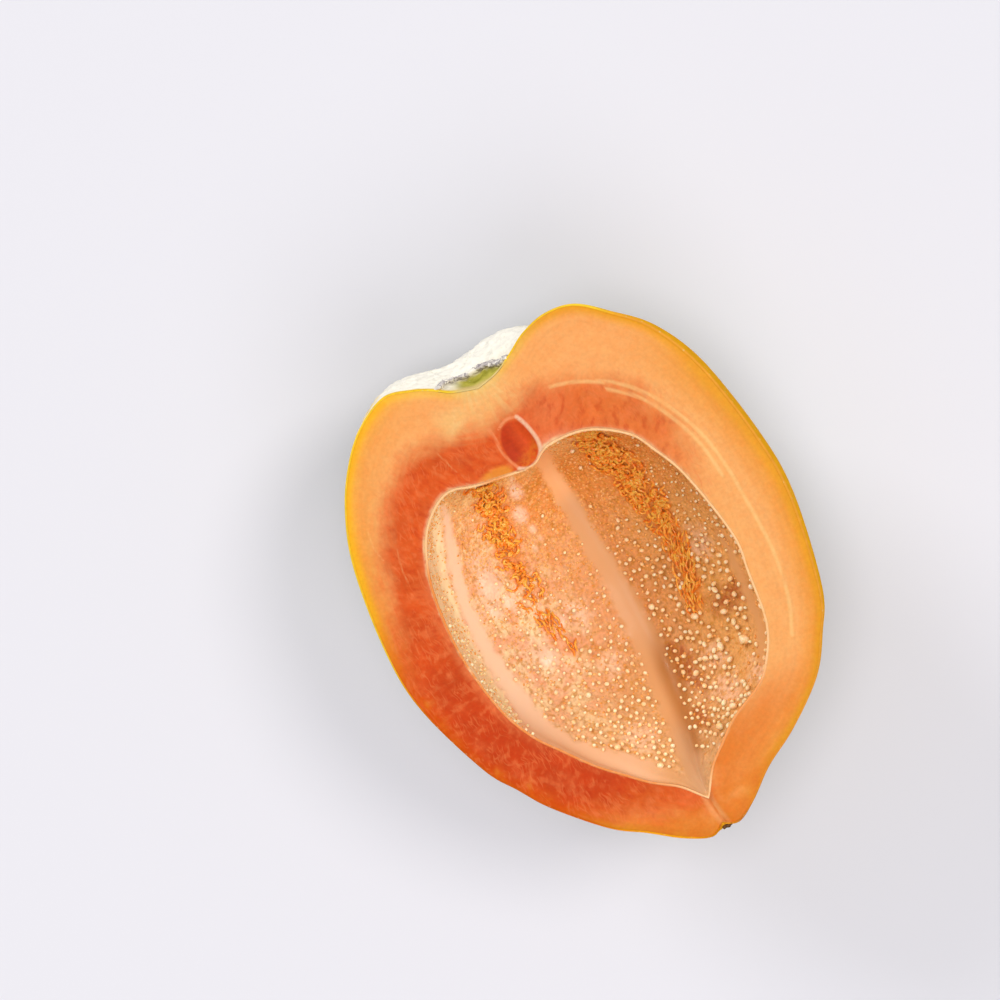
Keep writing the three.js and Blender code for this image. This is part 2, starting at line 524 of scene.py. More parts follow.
LEFT_GROOVE = Strip(
    middle=(
        (-20.3, 40.5), (-23.8, 32), (-27, 23), (-28.8, 13), (-29.5, 3), (-28.9, -7), (-28.2, -17),
        (-24.6, -27), (-18, -35), (-9.8, -42.5), (-1.5, -51),
    ),
    half=(0.8, 1.2, 1.5, 1.7, 2.0, 2.2, 3.1, 3.2, 3.7, 3.6, 1.2),
)
MIDDLE_GROOVE = Strip(
    middle=(
        (7.4, 41), (7.4, 30), (7.6, 15), (7.4, 2), (6.9, -8), (6.2, -17), (4.9, -26), (3.2, -35), (1.3, -44),
        (-0.4, -52),
    ),
    half=(2.1, 2.3, 2.5, 2.8, 3.2, 3.5, 3.3, 3.1, 2.9, 1.4),
)
RIGHT_GROOVE = Strip(
    middle=((36.2, 2), (35.6, -8), (34.4, -17), (32.4, -25), (29.4, -31)),
    half=(0.3, 0.8, 1.1, 1.2, 0.6),
)
GROOVES = (LEFT_GROOVE, MIDDLE_GROOVE, RIGHT_GROOVE)


# ---- making the pieces


@dataclass
class Workshop:
    """Makes pieces in the fruit's frame and sets them down in the part's frame."""

    shift: Vector = field(default_factory=Vector)

    def fit_to(self, low: Vector, high: Vector, outside: Array) -> None:
        """Centres the fruit on the node's box and puts the cut plane at the box's top.

        Args:
            low: the node's lowest corner, in metres.
            high: its highest corner.
            outside: places all over the fruit's outside, in mm.
        """
        middle = (outside.min(axis=0) + outside.max(axis=0)) / 2
        self.shift = Vector(
            ((low.x + high.x) / 2 - middle[0] * MM, (low.y + high.y) / 2 - middle[1] * MM, high.z)
        )

    def to_part(self, point: Sequence[float]) -> Vector:
        """A place in the part's frame, in metres, from one in the fruit's frame, in mm."""
        return Vector(point) * MM + self.shift

    def finish(
        self,
        shape: bmesh.types.BMesh,
        name: str,
        slot: str,
        material: bpy.types.Material,
        fields: Callable[[Array], dict[str, Array]] | None = None,
    ) -> None:
        """Turns a shape in the fruit's frame into a smooth piece that rides on the part.

        Args:
            shape: the shape, in mm. It is freed.
            name: the piece's name.
            slot: not used.
            material: the piece's finish.
            fields: gives the named values at each vertex that the finish reads, from the vertices' places.
        """
        mesh = bpy.data.meshes.new(name)
        shape.to_mesh(mesh)
        shape.free()
        places = np.empty(len(mesh.vertices) * 3, np.float32)
        mesh.vertices.foreach_get("co", places)
        for label, values in (fields(places.reshape(-1, 3).astype(float)) if fields else {}).items():
            layer = mesh.attributes.new(label, "FLOAT", "POINT")
            layer.data.foreach_set("value", np.asarray(values, np.float32))
        mesh.transform(Matrix.Translation(self.shift) @ Matrix.Scale(MM, 4))
        mesh.polygons.foreach_set("use_smooth", [True] * len(mesh.polygons))
        mesh.materials.append(material)
        piece = bpy.data.objects.new(name, mesh)
        bpy.context.scene.collection.objects.link(piece)
        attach(piece, BODY)
        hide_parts(NODE)
        LOG.info("%s: %d faces", name, len(mesh.polygons))


def scatter(spots: Sequence[Spot], grow: Callable[[bmesh.types.BMesh, Spot], None]) -> bmesh.types.BMesh:
    """Makes many small shapes in one mesh, batch by batch, because an operator takes longer in a big mesh.

    Args:
        spots: where the shapes grow.
        grow: adds the shape at a spot to a mesh.

    Returns:
        The mesh with all the shapes.
    """
    whole = bmesh.new()
    for start in range(0, len(spots), BATCH):
        part = bmesh.new()
        for spot in spots[start : start + BATCH]:
            grow(part, spot)
        scrap = bpy.data.meshes.new("batch")
        part.to_mesh(scrap)
        part.free()
        whole.from_mesh(scrap)
        bpy.data.meshes.remove(scrap)
    return whole


@dataclass(frozen=True)
class HalfShell:
    """A closed shell between two walls, cut off at the cut plane.

    It is one grid rolled up: its columns run down the outer wall, across the cut face on the left, back
    over the inner wall and across the face on the right, and its rows run from the blossom end to the stem.
    """

    outer: Callable[[Array, Array], Array]
    inner: Callable[[Array, Array], Array]
    outer_columns: int
    inner_columns: int
    face_columns: int
    rows: int

    def build(self, on_face: Callable[[Array], Array] | None = None) -> bmesh.types.BMesh:
        """Makes the shell.

        Args:
            on_face: gives how far each place on the cut face rises, in mm, from the places.

        Returns:
            The shell, closed and facing outwards.
        """
        columns = self.outer_columns + self.inner_columns + 2 * self.face_columns
        shape = bmesh.new()
        bmesh.ops.create_grid(shape, x_segments=columns, y_segments=self.rows, size=1.0)
        flat = np.array([v.co[:2] for v in shape.verts])
        column = np.rint((flat[:, 0] + 1) / 2 * columns).astype(int)
        share = (flat[:, 1] + 1) / 2
        places = self._rolled(column, share)
        face = places[:, 2] == 0
        if on_face is not None:
            places[face, 2] += on_face(places[face])
        for vert, place in zip(shape.verts, places):
            vert.co = place
        bmesh.ops.remove_doubles(shape, verts=shape.verts, dist=SAME_PLACE)
        bmesh.ops.dissolve_degenerate(shape, edges=shape.edges, dist=SAME_PLACE)
        bmesh.ops.recalc_face_normals(shape, faces=shape.faces)
        return shape

    def _rolled(self, column: Array, share: Array) -> Array:
        """Where each grid vertex goes.

        Args:
            column: the vertex's column.
            share: its share of the rows, from the blossom end at 0 to the stem end at 1.

        Returns:
            x, y and z of each vertex.
        """
        down, across = self.outer_columns, self.face_columns
        turn_left = down + across
        turn_right = turn_left + self.inner_columns
        on_outer = np.clip(column / down, 0, 1)
        on_inner = np.clip((column - turn_left) / self.inner_columns, 0, 1)
        outer = self.outer(share, math.pi * (2 - on_outer))
        inner = self.inner(share, math.pi * (1 + on_inner))
        places = np.where((column <= down)[:, None], outer, inner)
        for first, angle, inwards in ((down, math.pi, True), (turn_right, ROUND, False)):
            chosen = (column > first) & (column < first + across)
            inset = ((column[chosen] - first) / across)[:, None]
            if not inwards:
                inset = 1 - inset
            rows, fixed = share[chosen], np.full(chosen.sum(), angle)
            places[chosen] = self.outer(rows, fixed) * (1 - inset) + self.inner(rows, fixed) * inset
        closing = column == turn_right + across
        places[closing] = self.outer(share[closing], np.full(closing.sum(), ROUND))
        places[np.abs(places[:, 2]) < SAME_PLACE, 2] = 0.0
        return places


# ---- the finishes


class Look(Enum):
    """What a finish stands for, which names its material."""

    WAXY_SKIN = "waxy_papaya_skin"
    RIPE_FLESH = "moist_cut_flesh"
    LINING = "fibrous_cavity_lining"
    PEARL = "seed_stalk_pearl"
    GRAIN = "orange_seed_stalk_grain"
    FIBRE = "orange_placenta_fibre"
    SCAR = "torn_stem_scar"
    BARK = "dry_blossom_scar"
    FLOOR = "pale_studio_floor"


def add(tree: bpy.types.NodeTree, kind: str, inputs: dict[Any, Any] | None = None, **settings: Any) -> Any:
    """Adds a node to a material.

    Args:
        tree: the material's node tree.
        kind: the node's type.
        inputs: a value, a hex colour or a tone for each input, by its name or number.
        settings: the node's own properties.

    Returns:
        The node.
    """
    made = tree.nodes.new(kind)
    for label, value in settings.items():
        setattr(made, label, value)
    for label, value in (inputs or {}).items():
        if isinstance(value, Tone):
            tree.links.new(value.output, made.inputs[label])
        else:
            made.inputs[label].default_value = linear(value) if isinstance(value, str) else value
    return made


@dataclass(frozen=True)
class Tone:
    """A value or a colour that differs from place to place on a piece.

    Tones are added and multiplied as numbers are. Each step puts its node in the material.
    """

    tree: bpy.types.NodeTree
    output: bpy.types.NodeSocket

    def _sum(self, operation: str, first: Amount, second: Amount = 0.0) -> Tone:
        """One sum on two values."""
        made = add(self.tree, "ShaderNodeMath", {0: first, 1: second}, operation=operation)
        return Tone(self.tree, made.outputs[0])

    def __add__(self, other: Amount) -> Tone:
        """This value and another together."""
        return self._sum("ADD", self, other)

    def __sub__(self, other: Amount) -> Tone:
        """This value less another."""
        return self._sum("SUBTRACT", self, other)

    def __rsub__(self, other: float) -> Tone:
        """A number less this value."""
        return self._sum("SUBTRACT", other, self)

    def __mul__(self, other: Amount) -> Tone:
        """This value times another."""
        return self._sum("MULTIPLY", self, other)

    def __abs__(self) -> Tone:
        """This value without its sign."""
        return self._sum("ABSOLUTE", self)

    def most(self, other: Amount) -> Tone:
        """The larger of this value and another."""
        return self._sum("MAXIMUM", self, other)

    def ramp(self, low: float, high: float, soft: bool = True) -> Tone:
        """Rises from 0 to 1 as the value goes from low to high, or falls if high is the smaller.

        Args:
            low: the value at which the ramp is 0.
            high: the value at which it is 1.
            soft: whether the ramp eases in and out.

        Returns:
            The ramp.
        """
        rising = low < high
        span = {"From Min": min(low, high), "From Max": max(low, high)}
        ends = {} if rising else {"To Min": 1.0, "To Max": 0.0}
        kind = "SMOOTHSTEP" if soft else "LINEAR"
        made = add(self.tree, "ShaderNodeMapRange", {"Value": self, **span, **ends}, interpolation_type=kind)
        return Tone(self.tree, made.outputs["Result"])

    def varied(self, pattern: Tone, dark: float, bright: float) -> Tone:
        """Makes this colour darker and brighter from place to place.

        Args:
            pattern: a noise value, nearly all of it between NOISE_LOW and NOISE_HIGH.
            dark: what the colour is multiplied by where the pattern is low.
            bright: what it is multiplied by where the pattern is high.

        Returns:
            The varied colour.
        """
        span = {"From Min": NOISE_LOW, "From Max": NOISE_HIGH, "To Min": dark, "To Max": bright}
        spread = add(self.tree, "ShaderNodeMapRange", {"Value": pattern, **span})
        amount = Tone(self.tree, spread.outputs["Result"])
        made = add(self.tree, "ShaderNodeVectorMath", {0: self, "Scale": amount}, operation="SCALE")
        return Tone(self.tree, made.outputs[0])


Amount = Tone | float
Layer = tuple[Amount, Tone | str]


@dataclass(frozen=True)
class Paint:
    """A material in the making: its patterns, its blends and the shader that they go to."""

    tree: bpy.types.NodeTree
    shader: bpy.types.Node

    def tone(self, kind: str, inputs: dict[Any, Any] | None = None, output: Any = 0, **settings: Any) -> Tone:
        """One output of a new node, as a tone."""
        return Tone(self.tree, add(self.tree, kind, inputs, **settings).outputs[output])

    def field(self, label: str) -> Tone:
        """A piece's value of that name at each of its vertices."""
        return self.tone("ShaderNodeAttribute", output="Fac", attribute_name=label)

    def speckle(self, grain_mm: float, detail: float = 2.0, stretch: Sequence[float] = (1, 1, 1)) -> Tone:
        """A noise pattern on the piece's own coordinates.

        Args:
            grain_mm: the size of one lump, in mm.
            detail: how many finer layers it has.
            stretch: how much longer the lumps are along each axis.

        Returns:
            The pattern's value, from 0 to 1.
        """
        where = self.tone("ShaderNodeTexCoord", output="Object")
        scale = tuple(1 / (grain_mm * MM * s) for s in stretch)
        moved = self.tone("ShaderNodeMapping", {"Vector": where, "Scale": scale})
        return self.tone("ShaderNodeTexNoise", {"Vector": moved, "Scale": 1.0, "Detail": detail}, "Fac")

    def cells(self, size_mm: float) -> tuple[Tone, Tone]:
        """A packing of rounded grains.

        Args:
            size_mm: the grains' size, in mm.

        Returns:
            The distance from each grain's middle, in grain sizes, and a random value for each grain.
        """
        where = self.tone("ShaderNodeTexCoord", output="Object")
        spread = {"Vector": where, "Scale": 1 / (size_mm * MM), "Randomness": 1.0}
        pattern = add(self.tree, "ShaderNodeTexVoronoi", spread)
        away, chance = (Tone(self.tree, pattern.outputs[label]) for label in ("Distance", "Color"))
        return away, self.tone("ShaderNodeSeparateColor", {0: chance})

    def mix(self, amount: Amount, under: Tone | str, over: Tone | str, mode: str = "MIX") -> Tone:
        """Lays one colour over another, by an amount from 0 to 1."""
        colours = {0: amount, 6: under, 7: over}
        return self.tone("ShaderNodeMix", colours, output=2, data_type="RGBA", blend_type=mode)

    def layers(self, base: Tone | str, first: Layer, *more: Layer) -> Tone:
        """Lays several colours over a base, one after the other.

        Args:
            base: the lowest colour.
            first: how much of the first colour shows, and the colour.
            more: the same for each further colour.

        Returns:
            The colour with all its layers.
        """
        colour = self.mix(first[0], base, first[1])
        for amount, over in more:
            colour = self.mix(amount, colour, over)
        return colour

    def link(self, tone: Tone, label: str) -> None:
        """Gives a tone to one of the shader's inputs."""
        self.tree.links.new(tone.output, self.shader.inputs[label])

    def bump(self, height: Tone, depth_mm: float, strength: float = 1.0) -> None:
        """Gives the shader fine relief."""
        relief = {"Height": height, "Distance": depth_mm * MM, "Strength": strength}
        self.link(self.tone("ShaderNodeBump", relief), "Normal")


@dataclass(frozen=True)
class Finish:
    """A surface finish: a base with a principled shader that each kind of finish dresses."""

    look: Look
    roughness: float = 0.5
    ior: float = 1.4
    coat: float = 0.0
    subsurface: float = 0.0
    subsurface_radius: Trio = (1.0, 0.35, 0.15)
    subsurface_mm: float = 2.0

    def material(self) -> bpy.types.Material:
        """Makes the material.

        Returns:
            The finished material.
        """
        made = bpy.data.materials.new(self.look.value)
        made.use_nodes = True
        shader = made.node_tree.nodes["Principled BSDF"]
        for label, value in {
            "Roughness": self.roughness,
            "IOR": self.ior,
            "Coat Weight": self.coat,
            "Subsurface Weight": self.subsurface,
            "Subsurface Radius": self.subsurface_radius,
            "Subsurface Scale": self.subsurface_mm * MM,
        }.items():
            shader.inputs[label].default_value = value
        self.dress(Paint(made.node_tree, shader))
        return made

    def dress(self, paint: Paint) -> None:
        """Adds the finish's own colour and relief. A plain finish adds none."""


@dataclass(frozen=True)
class WaxySkin(Finish):
    """Thin waxy papaya peel, glossy where it is green and dull near the cut.

    It is yellow to golden at the cut, green behind with orange flushes, pale cream round the stem, partly
    painted highlight.
    """

    sunny: str = "#e8c034"
    golden: str = "#e6a51e"
    ember: str = "#cd5d0c"
    flush: str = "#dc9619"
    leaf: str = "#56781c"
    green: str = "#395811"
    lime: str = "#9aa134"
    # pale cream round the stem, partly the peel's own colour and partly a painted highlight
    cream: str = "#f6f1e2"
    worn: str = "#cfcabb"
    cut_edge: str = "#db9434"
    olive: str = "#8f8a30"
    pit_light: str = "#c0b450"
    pit_edge: str = "#dbbd80"
    pore: str = "#ccd096"
    pore_mm: float = 1.3

    def dress(self, paint: Paint) -> None:
        """Colours the peel by its depth below the cut, the lobes and soft blotches.

        Args:
            paint: the material.
        """
        field = paint.field
        blotch, cloudy = paint.speckle(16, 3, (1, 2.2, 1)), paint.speckle(5, 4)
        below, patchy = field("below"), cloudy.ramp(0.35, 0.65)
        uneven = below + blotch * 22.0 + cloudy * 8.0
        flush = (field("flush") + blotch * 1.1).ramp(0.6, 1.7) * (cloudy * 0.8 + 0.25)
        worn = paint.speckle(2.6, 4).ramp(0.5, 0.75) * 0.6
        pit = paint.mix(patchy, self.olive, self.pit_light)
        away, chance = paint.cells(self.pore_mm)
        pores = away.ramp(0.28, 0.12) * chance.ramp(0.45, 0.6)
        colour = paint.layers(
            self.golden,
            (field("sunny"), self.sunny),
            (field("ember"), self.ember),
            (uneven.ramp(27, 42), self.lime),
            (uneven.ramp(34, 54), paint.mix(patchy, self.green, self.leaf)),
            (flush, paint.mix(blotch.ramp(0.45, 0.6), self.lime, self.flush)),
            (field("tip"), self.lime),
            (field("cut_right") * below.ramp(1.3, 0.6), self.cut_edge),
            # pale cream round the stem, partly a painted highlight
            (field("shoulder"), paint.mix(worn, self.cream, self.worn)),
            (field("pit"), paint.mix(below.ramp(4.5, 0.5) * 0.85, pit, self.pit_edge)),
            (pores * 0.3, self.pore),
        )
        paint.link(colour.varied(paint.speckle(1.8, 3), 0.92, 1.08), "Base Color")
        paint.link(below.ramp(6, 24) * 0.5, "Specular IOR Level")
        paint.bump(cloudy * 2.0 + paint.speckle(1.4, 2), 0.14, 0.7)


@dataclass(frozen=True)
class RipeFlesh(Finish):
    """Moist ripe flesh, cut with a knife, so that it glows a little and shines softly.

    It is golden under the peel, peach inside that and orange-red by the cavity, with pale threads.
    """

    peach: str = "#e5a15f"
    orange: str = "#de923d"
    golden: str = "#d99220"
    sunny: str = "#e9a91f"
    notch: str = "#e0ae50"
    ember: str = "#d35708"
    red: str = "#cc521a"
    deep: str = "#b53408"
    soft_red: str = "#d46f31"
    tip_red: str = "#d36020"
    tip_orange: str = "#d57938"
    flare: str = "#db7c49"
    cream: str = "#dfbb7a"
    vein: str = "#eac582"
    thread: str = "#dc7541"
    pocket_red: str = "#b1340a"
    pocket_bright: str = "#c94a1c"
    pocket_amber: str = "#cc661e"
    wall: str = "#e1b394"
    thin_wall: str = "#e28d5d"
    seam: str = "#c66a27"
    # painted highlight along the seam's edges
    seam_highlight: str = "#e6a76c"
    warmth: str = "#fff0e0"
    amber_dark: str = "#cf711e"
    amber_light: str = "#e29236"
    low_right: str = "#d47524"
    rim_glow: str = "#df9671"
    crown: str = "#e79f5f"
    halo: str = "#e6bd8d"
    thread_sets: Sets = ((1.6, 7.0, 38.0), (1.5, 6.0, -12.0), (1.4, 5.0, 80.0))
    thread_bend_mm: float = 7.0
    thread_swing_mm: float = 5.0
    thread_depth_mm: float = 6.0
    thread_strength: float = 0.4

    def dress(self, paint: Paint) -> None:
        """Colours the face from the peel inwards, then adds streaks, threads, veins and the pocket.

        Args:
            paint: the material.
        """
        field = paint.field
        depth, seam, streak = field("depth"), field("seam"), self._streaks(paint)
        broad, grain = paint.speckle(6, 3), paint.speckle(1.7, 5)
        under_peel = paint.layers(self.golden, (field("sunny"), self.sunny), (field("notch"), self.notch))
        colour = paint.layers(
            self.orange,
            (depth.ramp(0.12, 0.5), self.peach),
            (depth.ramp(0.2, 0.05), under_peel),
            (field("crown") * depth.ramp(0.02, 0.12), self.crown),
            (field("ember") * broad.ramp(0.1, 0.45), self.ember),
            (field("tip_right"), self.tip_orange),
            (field("low_right") * broad.ramp(0.0, 0.55), self.low_right),
            (self._reddened(paint, broad, streak), self._red(paint, broad)),
            (self._fan(paint), self.cream),
            (field("amber"), paint.mix(broad, self.amber_dark, self.amber_light)),
            (self._threads(paint), self.thread),
            (field("glow"), self.rim_glow),
            (field("halo") * grain.ramp(0.2, 0.5), self.halo),
            (field("vein").ramp(0.8, 0.05) * broad.ramp(0.2, 0.45) * 0.48, self.vein),
            # painted highlight along the seam's edges; the seam itself is darker
            (seam.ramp(2.0, 0.8) * 0.5, self.seam_highlight),
            (seam.ramp(0.6, 0.05) * 0.8, self.seam),
            (field("pocket").ramp(0.3, -0.4), self._pocket(paint)),
            (field("wall_thin").ramp(0.6, 0.1) * 0.7, self.thin_wall),
            (field("wall").ramp(0.8, 0.15) * grain.ramp(0.15, 0.5), self.wall),
        )
        colour = colour.varied(streak, 0.96, 1.04).varied(paint.speckle(0.9, 4), 0.95, 1.05)
        warm = grain.ramp(0.32, 0.68) * 0.55
        paint.link(paint.mix(warm, colour, self.warmth, "MULTIPLY"), "Base Color")
        paint.bump(grain + broad * 2.0, 0.09, 0.6)

    def _red(self, paint: Paint, broad: Tone) -> Tone:
        """The red zone's colour: deepest at the lower left, softer on the right and by the rim.

        Args:
            paint: the material.
            broad: the face's broad mottling.

        Returns:
            The colour.
        """
        field, fibrous = paint.field, self._streaks(paint, 5.0, 0.45, 5.0)
        red = paint.layers(
            self.red,
            (field("deep"), self.deep),
            (field("soft_red"), self.soft_red),
            (field("tip_red"), self.tip_red),
            (field("flare"), self.flare),
            (broad.ramp(0.5, 0.75) * 0.3, self.thread),
            (fibrous.ramp(0.5, 0.7) * 0.36, self.thread),
            (fibrous.ramp(0.5, 0.32) * 0.45, self.deep),
        )
        return red.varied(paint.speckle(9, 3), 0.9, 1.1)

    def _streaks(self, paint: Paint, around: float = 1.0, inwards: float = 1.0, detail: float = 3.0) -> Tone:
        """Streaks on the face, along the fruit's outline or across it.

        Args:
            paint: the material.
            around: how fine they are along the outline.
            inwards: how fine they are from the peel inwards.
            detail: how many finer layers they have.

        Returns:
            The pattern's value.
        """
        spans = (("ring_x", around), ("ring_y", around), ("ring_in", inwards))
        parts = {axis: paint.field(label) * fine for axis, (label, fine) in enumerate(spans)}
        where = paint.tone("ShaderNodeCombineXYZ", parts)
        return paint.tone("ShaderNodeTexNoise", {"Vector": where, "Scale": 1.0, "Detail": detail}, "Fac")

    def _reddened(self, paint: Paint, broad: Tone, streak: Tone) -> Tone:
        """How red each place is, from 0 to 1: uneven at the zone's edge and fainter down the right side."""
        zone = paint.field("red") + (broad * 7.0 + streak * 4.0) - 5.5
        return zone.ramp(-4.6, 4.2) * paint.field("red_share")

    def _fan(self, paint: Paint) -> Tone:
        """The cream cone under the stem, with streaks that spread out from it.

        Args:
            paint: the material.

        Returns:
            The share of cream, from 0 to 1.
        """
        field = paint.field
        where = paint.tone("ShaderNodeCombineXYZ", {0: field("fan_angle"), 1: field("fan_out")})
        rays = paint.tone("ShaderNodeTexNoise", {"Vector": where, "Scale": 1.0, "Detail": 2.0}, "Fac")
        spread = rays.ramp(0.35, 0.65) * 0.5 + 0.5
        return (field("cream") * spread).most(field("cloudy"))

    def _threads(self, paint: Paint) -> Tone:
        """How much fine pale thread shows in the red flesh, most of it along the fruit's outline."""
        sets = [self._thread_set(paint, *given) for given in self.thread_sets]
        return reduce(Tone.most, sets) * paint.field("red").ramp(-7.0, 1.0)

    def _thread_set(self, paint: Paint, size: float, stretch: float, turn: float) -> Tone:
        """Threads that run one way: the thin lines where a bent, drawn-out noise is halfway.

        Args:
            paint: the material.
            size: how far apart the threads are, in mm.
            stretch: how many times longer than that they are.
            turn: which way they run, in degrees.

        Returns:
            How much thread shows, from 0 to 1.
        """
        where = paint.tone("ShaderNodeTexCoord", output="Object")
        bent = {"Vector": where, "Scale": 1 / (self.thread_bend_mm * MM)}
        bend = {0: paint.tone("ShaderNodeTexNoise", bent, "Color"), "Scale": self.thread_swing_mm * MM}
        swirl = paint.tone("ShaderNodeVectorMath", bend, operation="SCALE")
        moved = paint.tone("ShaderNodeVectorMath", {0: where, 1: swirl}, operation="ADD")
        scale = (1 / (size * MM), 1 / (size * stretch * MM), 1 / (self.thread_depth_mm * MM))
        turned = {"Vector": moved, "Rotation": (0, 0, math.radians(turn)), "Scale": scale}
        along = paint.tone("ShaderNodeMapping", turned)
        fine = paint.tone("ShaderNodeTexNoise", {"Vector": along, "Scale": 1.0, "Detail": 1.0}, "Fac")
        some = paint.speckle(4.0, 1, (1 + turn / 400, 1, 1)).ramp(0.5, 0.64) * self.thread_strength
        return abs(fine - HALF).ramp(0.05, 0.005) * some

    def _pocket(self, paint: Paint) -> Tone:
        """The pocket's colour: deep red, brighter on the right as painted light, and amber at its lower end.

        Args:
            paint: the material.

        Returns:
            The colour.
        """
        # brighter red on the right side as painted light
        red = paint.mix(paint.field("pocket_lit"), self.pocket_red, self.pocket_bright)
        amber = paint.field("pocket_low") * paint.speckle(1.1, 3).ramp(0.3, 0.62)
        return paint.mix(amber, red.varied(paint.speckle(1.4, 4), 0.9, 1.12), self.pocket_amber)


@dataclass(frozen=True)
class CavityLining(Finish):
    """Thin fibrous lining that the seeds came away from, wet enough to shine on its lumps.

    It is smooth and peach in the grooves, grainy and orange elsewhere, and pale where it meets the cut.
    """

    cream: str = "#fad3a1"
    pink: str = "#f2ae84"
    inner: str = "#db9355"
    low: str = "#dcab76"
    amber: str = "#e68e3a"
    # tan of the right wall, partly its own colour and partly painted shade
    tan: str = "#e6a860"
    burnt: str = "#e87f26"
    bark_brown: str = "#ac5524"
    # brown for the brown patch, and for the painted shade beside the middle groove
    blush: str = "#f4c49e"
    # painted shade and stain round the pearls' feet
    stain: str = "#a86c2a"
    granule: str = "#f8a834"
    pale_granule: str = "#fdc07c"
    ochre: str = "#c9872e"
    # brown for the specks, and for the painted shade down the middle groove
    brown: str = "#a46015"
    under_fibres: str = "#e88321"
    peach: str = "#fcd1ad"
    groove: str = "#dca26c"
    # painted light where the top wall shades the grooves
    high_groove: str = "#fbb87b"
    side_groove: str = "#dfa468"
    low_peach: str = "#e3aa7b"
    tail: str = "#c9976c"
    # the strip's own cream, made paler as painted light on the shaded steep wall
    strip: str = "#ffe4b4"
    # the lumps' pale tint, partly a painted highlight
    lump_tint_and_highlight: str = "#fdd8ba"
    # painted light on the steep wall under the top rim
    painted_top_light: str = "#ffcc86"
    rim: str = "#f6bd86"
    red_edge: str = "#e6883f"
    orange_edge: str = "#ea9048"
    granule_mm: float = 0.88
    speck_mm: float = 0.9

    def dress(self, paint: Paint) -> None:
        """Colours the lining by how near the stem, a groove, a fibre band and the rim each place is.

        Args:
            paint: the material.
        """
        field = paint.field
        away, chance = paint.cells(self.granule_mm)
        grainy = field("grainy") * (paint.speckle(4.0, 2).ramp(0.4, 0.58) * 0.5 + 0.5)
        lump, strip, smooth = field("lump").ramp(0.1, 0.8), field("strip"), field("smooth")
        rough = self._grained(paint, away, chance, grainy)
        colour = paint.layers(
            rough.varied(paint.speckle(0.8, 3), 0.82, 1.16),
            # the lumps' pale tint, partly a painted highlight
            (lump * 0.7, self.lump_tint_and_highlight),
            # the strip's own cream, made paler as painted light on the shaded steep wall
            (strip * 0.92, self.strip),
            (smooth, self._groove(paint)),
            # painted shade down the right side of the middle groove
            (field("crease") * 0.7, self.brown),
            ((field("below") + paint.speckle(1.6, 2) * 0.8 - field("lip")).ramp(0.9, 0.3), self._edge(paint)),
        )
        paint.link(colour, "Base Color")
        paint.link(self.roughness - lump * 0.22, "Roughness")
        bare = 1.0 - smooth.most(strip)
        paint.bump(away.ramp(0.8, 0.0, soft=False) * grainy * bare, 0.32, 0.8)

    def _grained(self, paint: Paint, away: Tone, chance: Tone, grainy: Tone) -> Tone:
        """The rough ground between the grooves: granules, specks, painted shade and stain by the pearls,
        painted top light.

        Args:
            paint: the material.
            away: the distance from each granule's middle.
            chance: a random value for each granule.
            grainy: how thickly the granules lie.

        Returns:
            The colour.
        """
        field = paint.field
        granule = paint.mix(chance.ramp(0.3, 0.8, soft=False), self.granule, self.pale_granule)
        cover = away.ramp(0.6, 0.35) * chance.ramp(0.25, 0.4)
        dark_away, dark_chance = paint.cells(self.speck_mm)
        specks = dark_away.ramp(0.3, 0.15) * dark_chance.ramp(0.68, 0.76)
        stain = field("stain") * paint.speckle(1.8, 2).ramp(0.25, 0.6)
        return paint.layers(
            self._ground(paint),
            (cover * (grainy * 0.75), granule),
            (paint.speckle(1.3, 2).ramp(0.5, 0.66) * 0.6, self.ochre),
            (specks * (grainy * 0.5), self.brown),
            # painted shade and stain round each pearl's foot
            (stain * 0.75, self.stain),
            # painted light on the steep wall under the top rim
            (field("top") * 0.8, self.painted_top_light),
            (field("band") * 0.7, self.under_fibres),
        )

    def _ground(self, paint: Paint) -> Tone:
        """The ground's colour: cream on the left, orange by the stem, tan and partly painted shade on the
        right.

        Args:
            paint: the material.

        Returns:
            The colour.
        """
        field, blotch = paint.field, paint.speckle(5, 3)
        stemward = (field("stemward") + blotch * 0.6).ramp(0.5, 1.3)
        outer = 1.0 - field("left") * 0.6
        grit = paint.speckle(1.0, 2).ramp(0.3, 0.6) * 0.5 + 0.42
        return paint.layers(
            self.cream,
            (blotch.ramp(0.38, 0.62), self.pink),
            (field("inner"), self.inner),
            (field("low"), self.low),
            (stemward * 0.85 * outer, self.amber),
            # tan on the right wall, partly its own colour and partly painted shade
            (field("right") * 0.9, paint.mix(stemward * 0.8, self.tan, self.burnt)),
            # a brown patch on the right, and painted shade in the two by the middle groove
            (field("brown_patch") * grit, self.bark_brown),
            (field("pink_patch") * 0.75, self.blush),
        )

    def _groove(self, paint: Paint) -> Tone:
        """The grooves' colour: peach on the left, tan elsewhere, and brighter under the stem as painted
        light.

        Args:
            paint: the material.

        Returns:
            The colour.
        """
        field = paint.field
        left = field("left")
        inner = field("stemward").ramp(0.6, 1.0) - left
        return paint.layers(
            self.groove,
            (left, self.peach),
            (field("low") * left, self.low_peach),
            # painted light where the top wall shades the grooves
            (inner.ramp(0.0, 0.8), self.high_groove),
            (field("right"), self.side_groove),
            (field("tail"), self.tail),
        )

    def _edge(self, paint: Paint) -> Tone:
        """The lining's edge at the cut: orange by the red flesh and at the lower right, else pale."""
        parts = ((paint.field("rim"), self.rim), (paint.field("rim_low"), self.orange_edge))
        return paint.layers(self.red_edge, *parts)


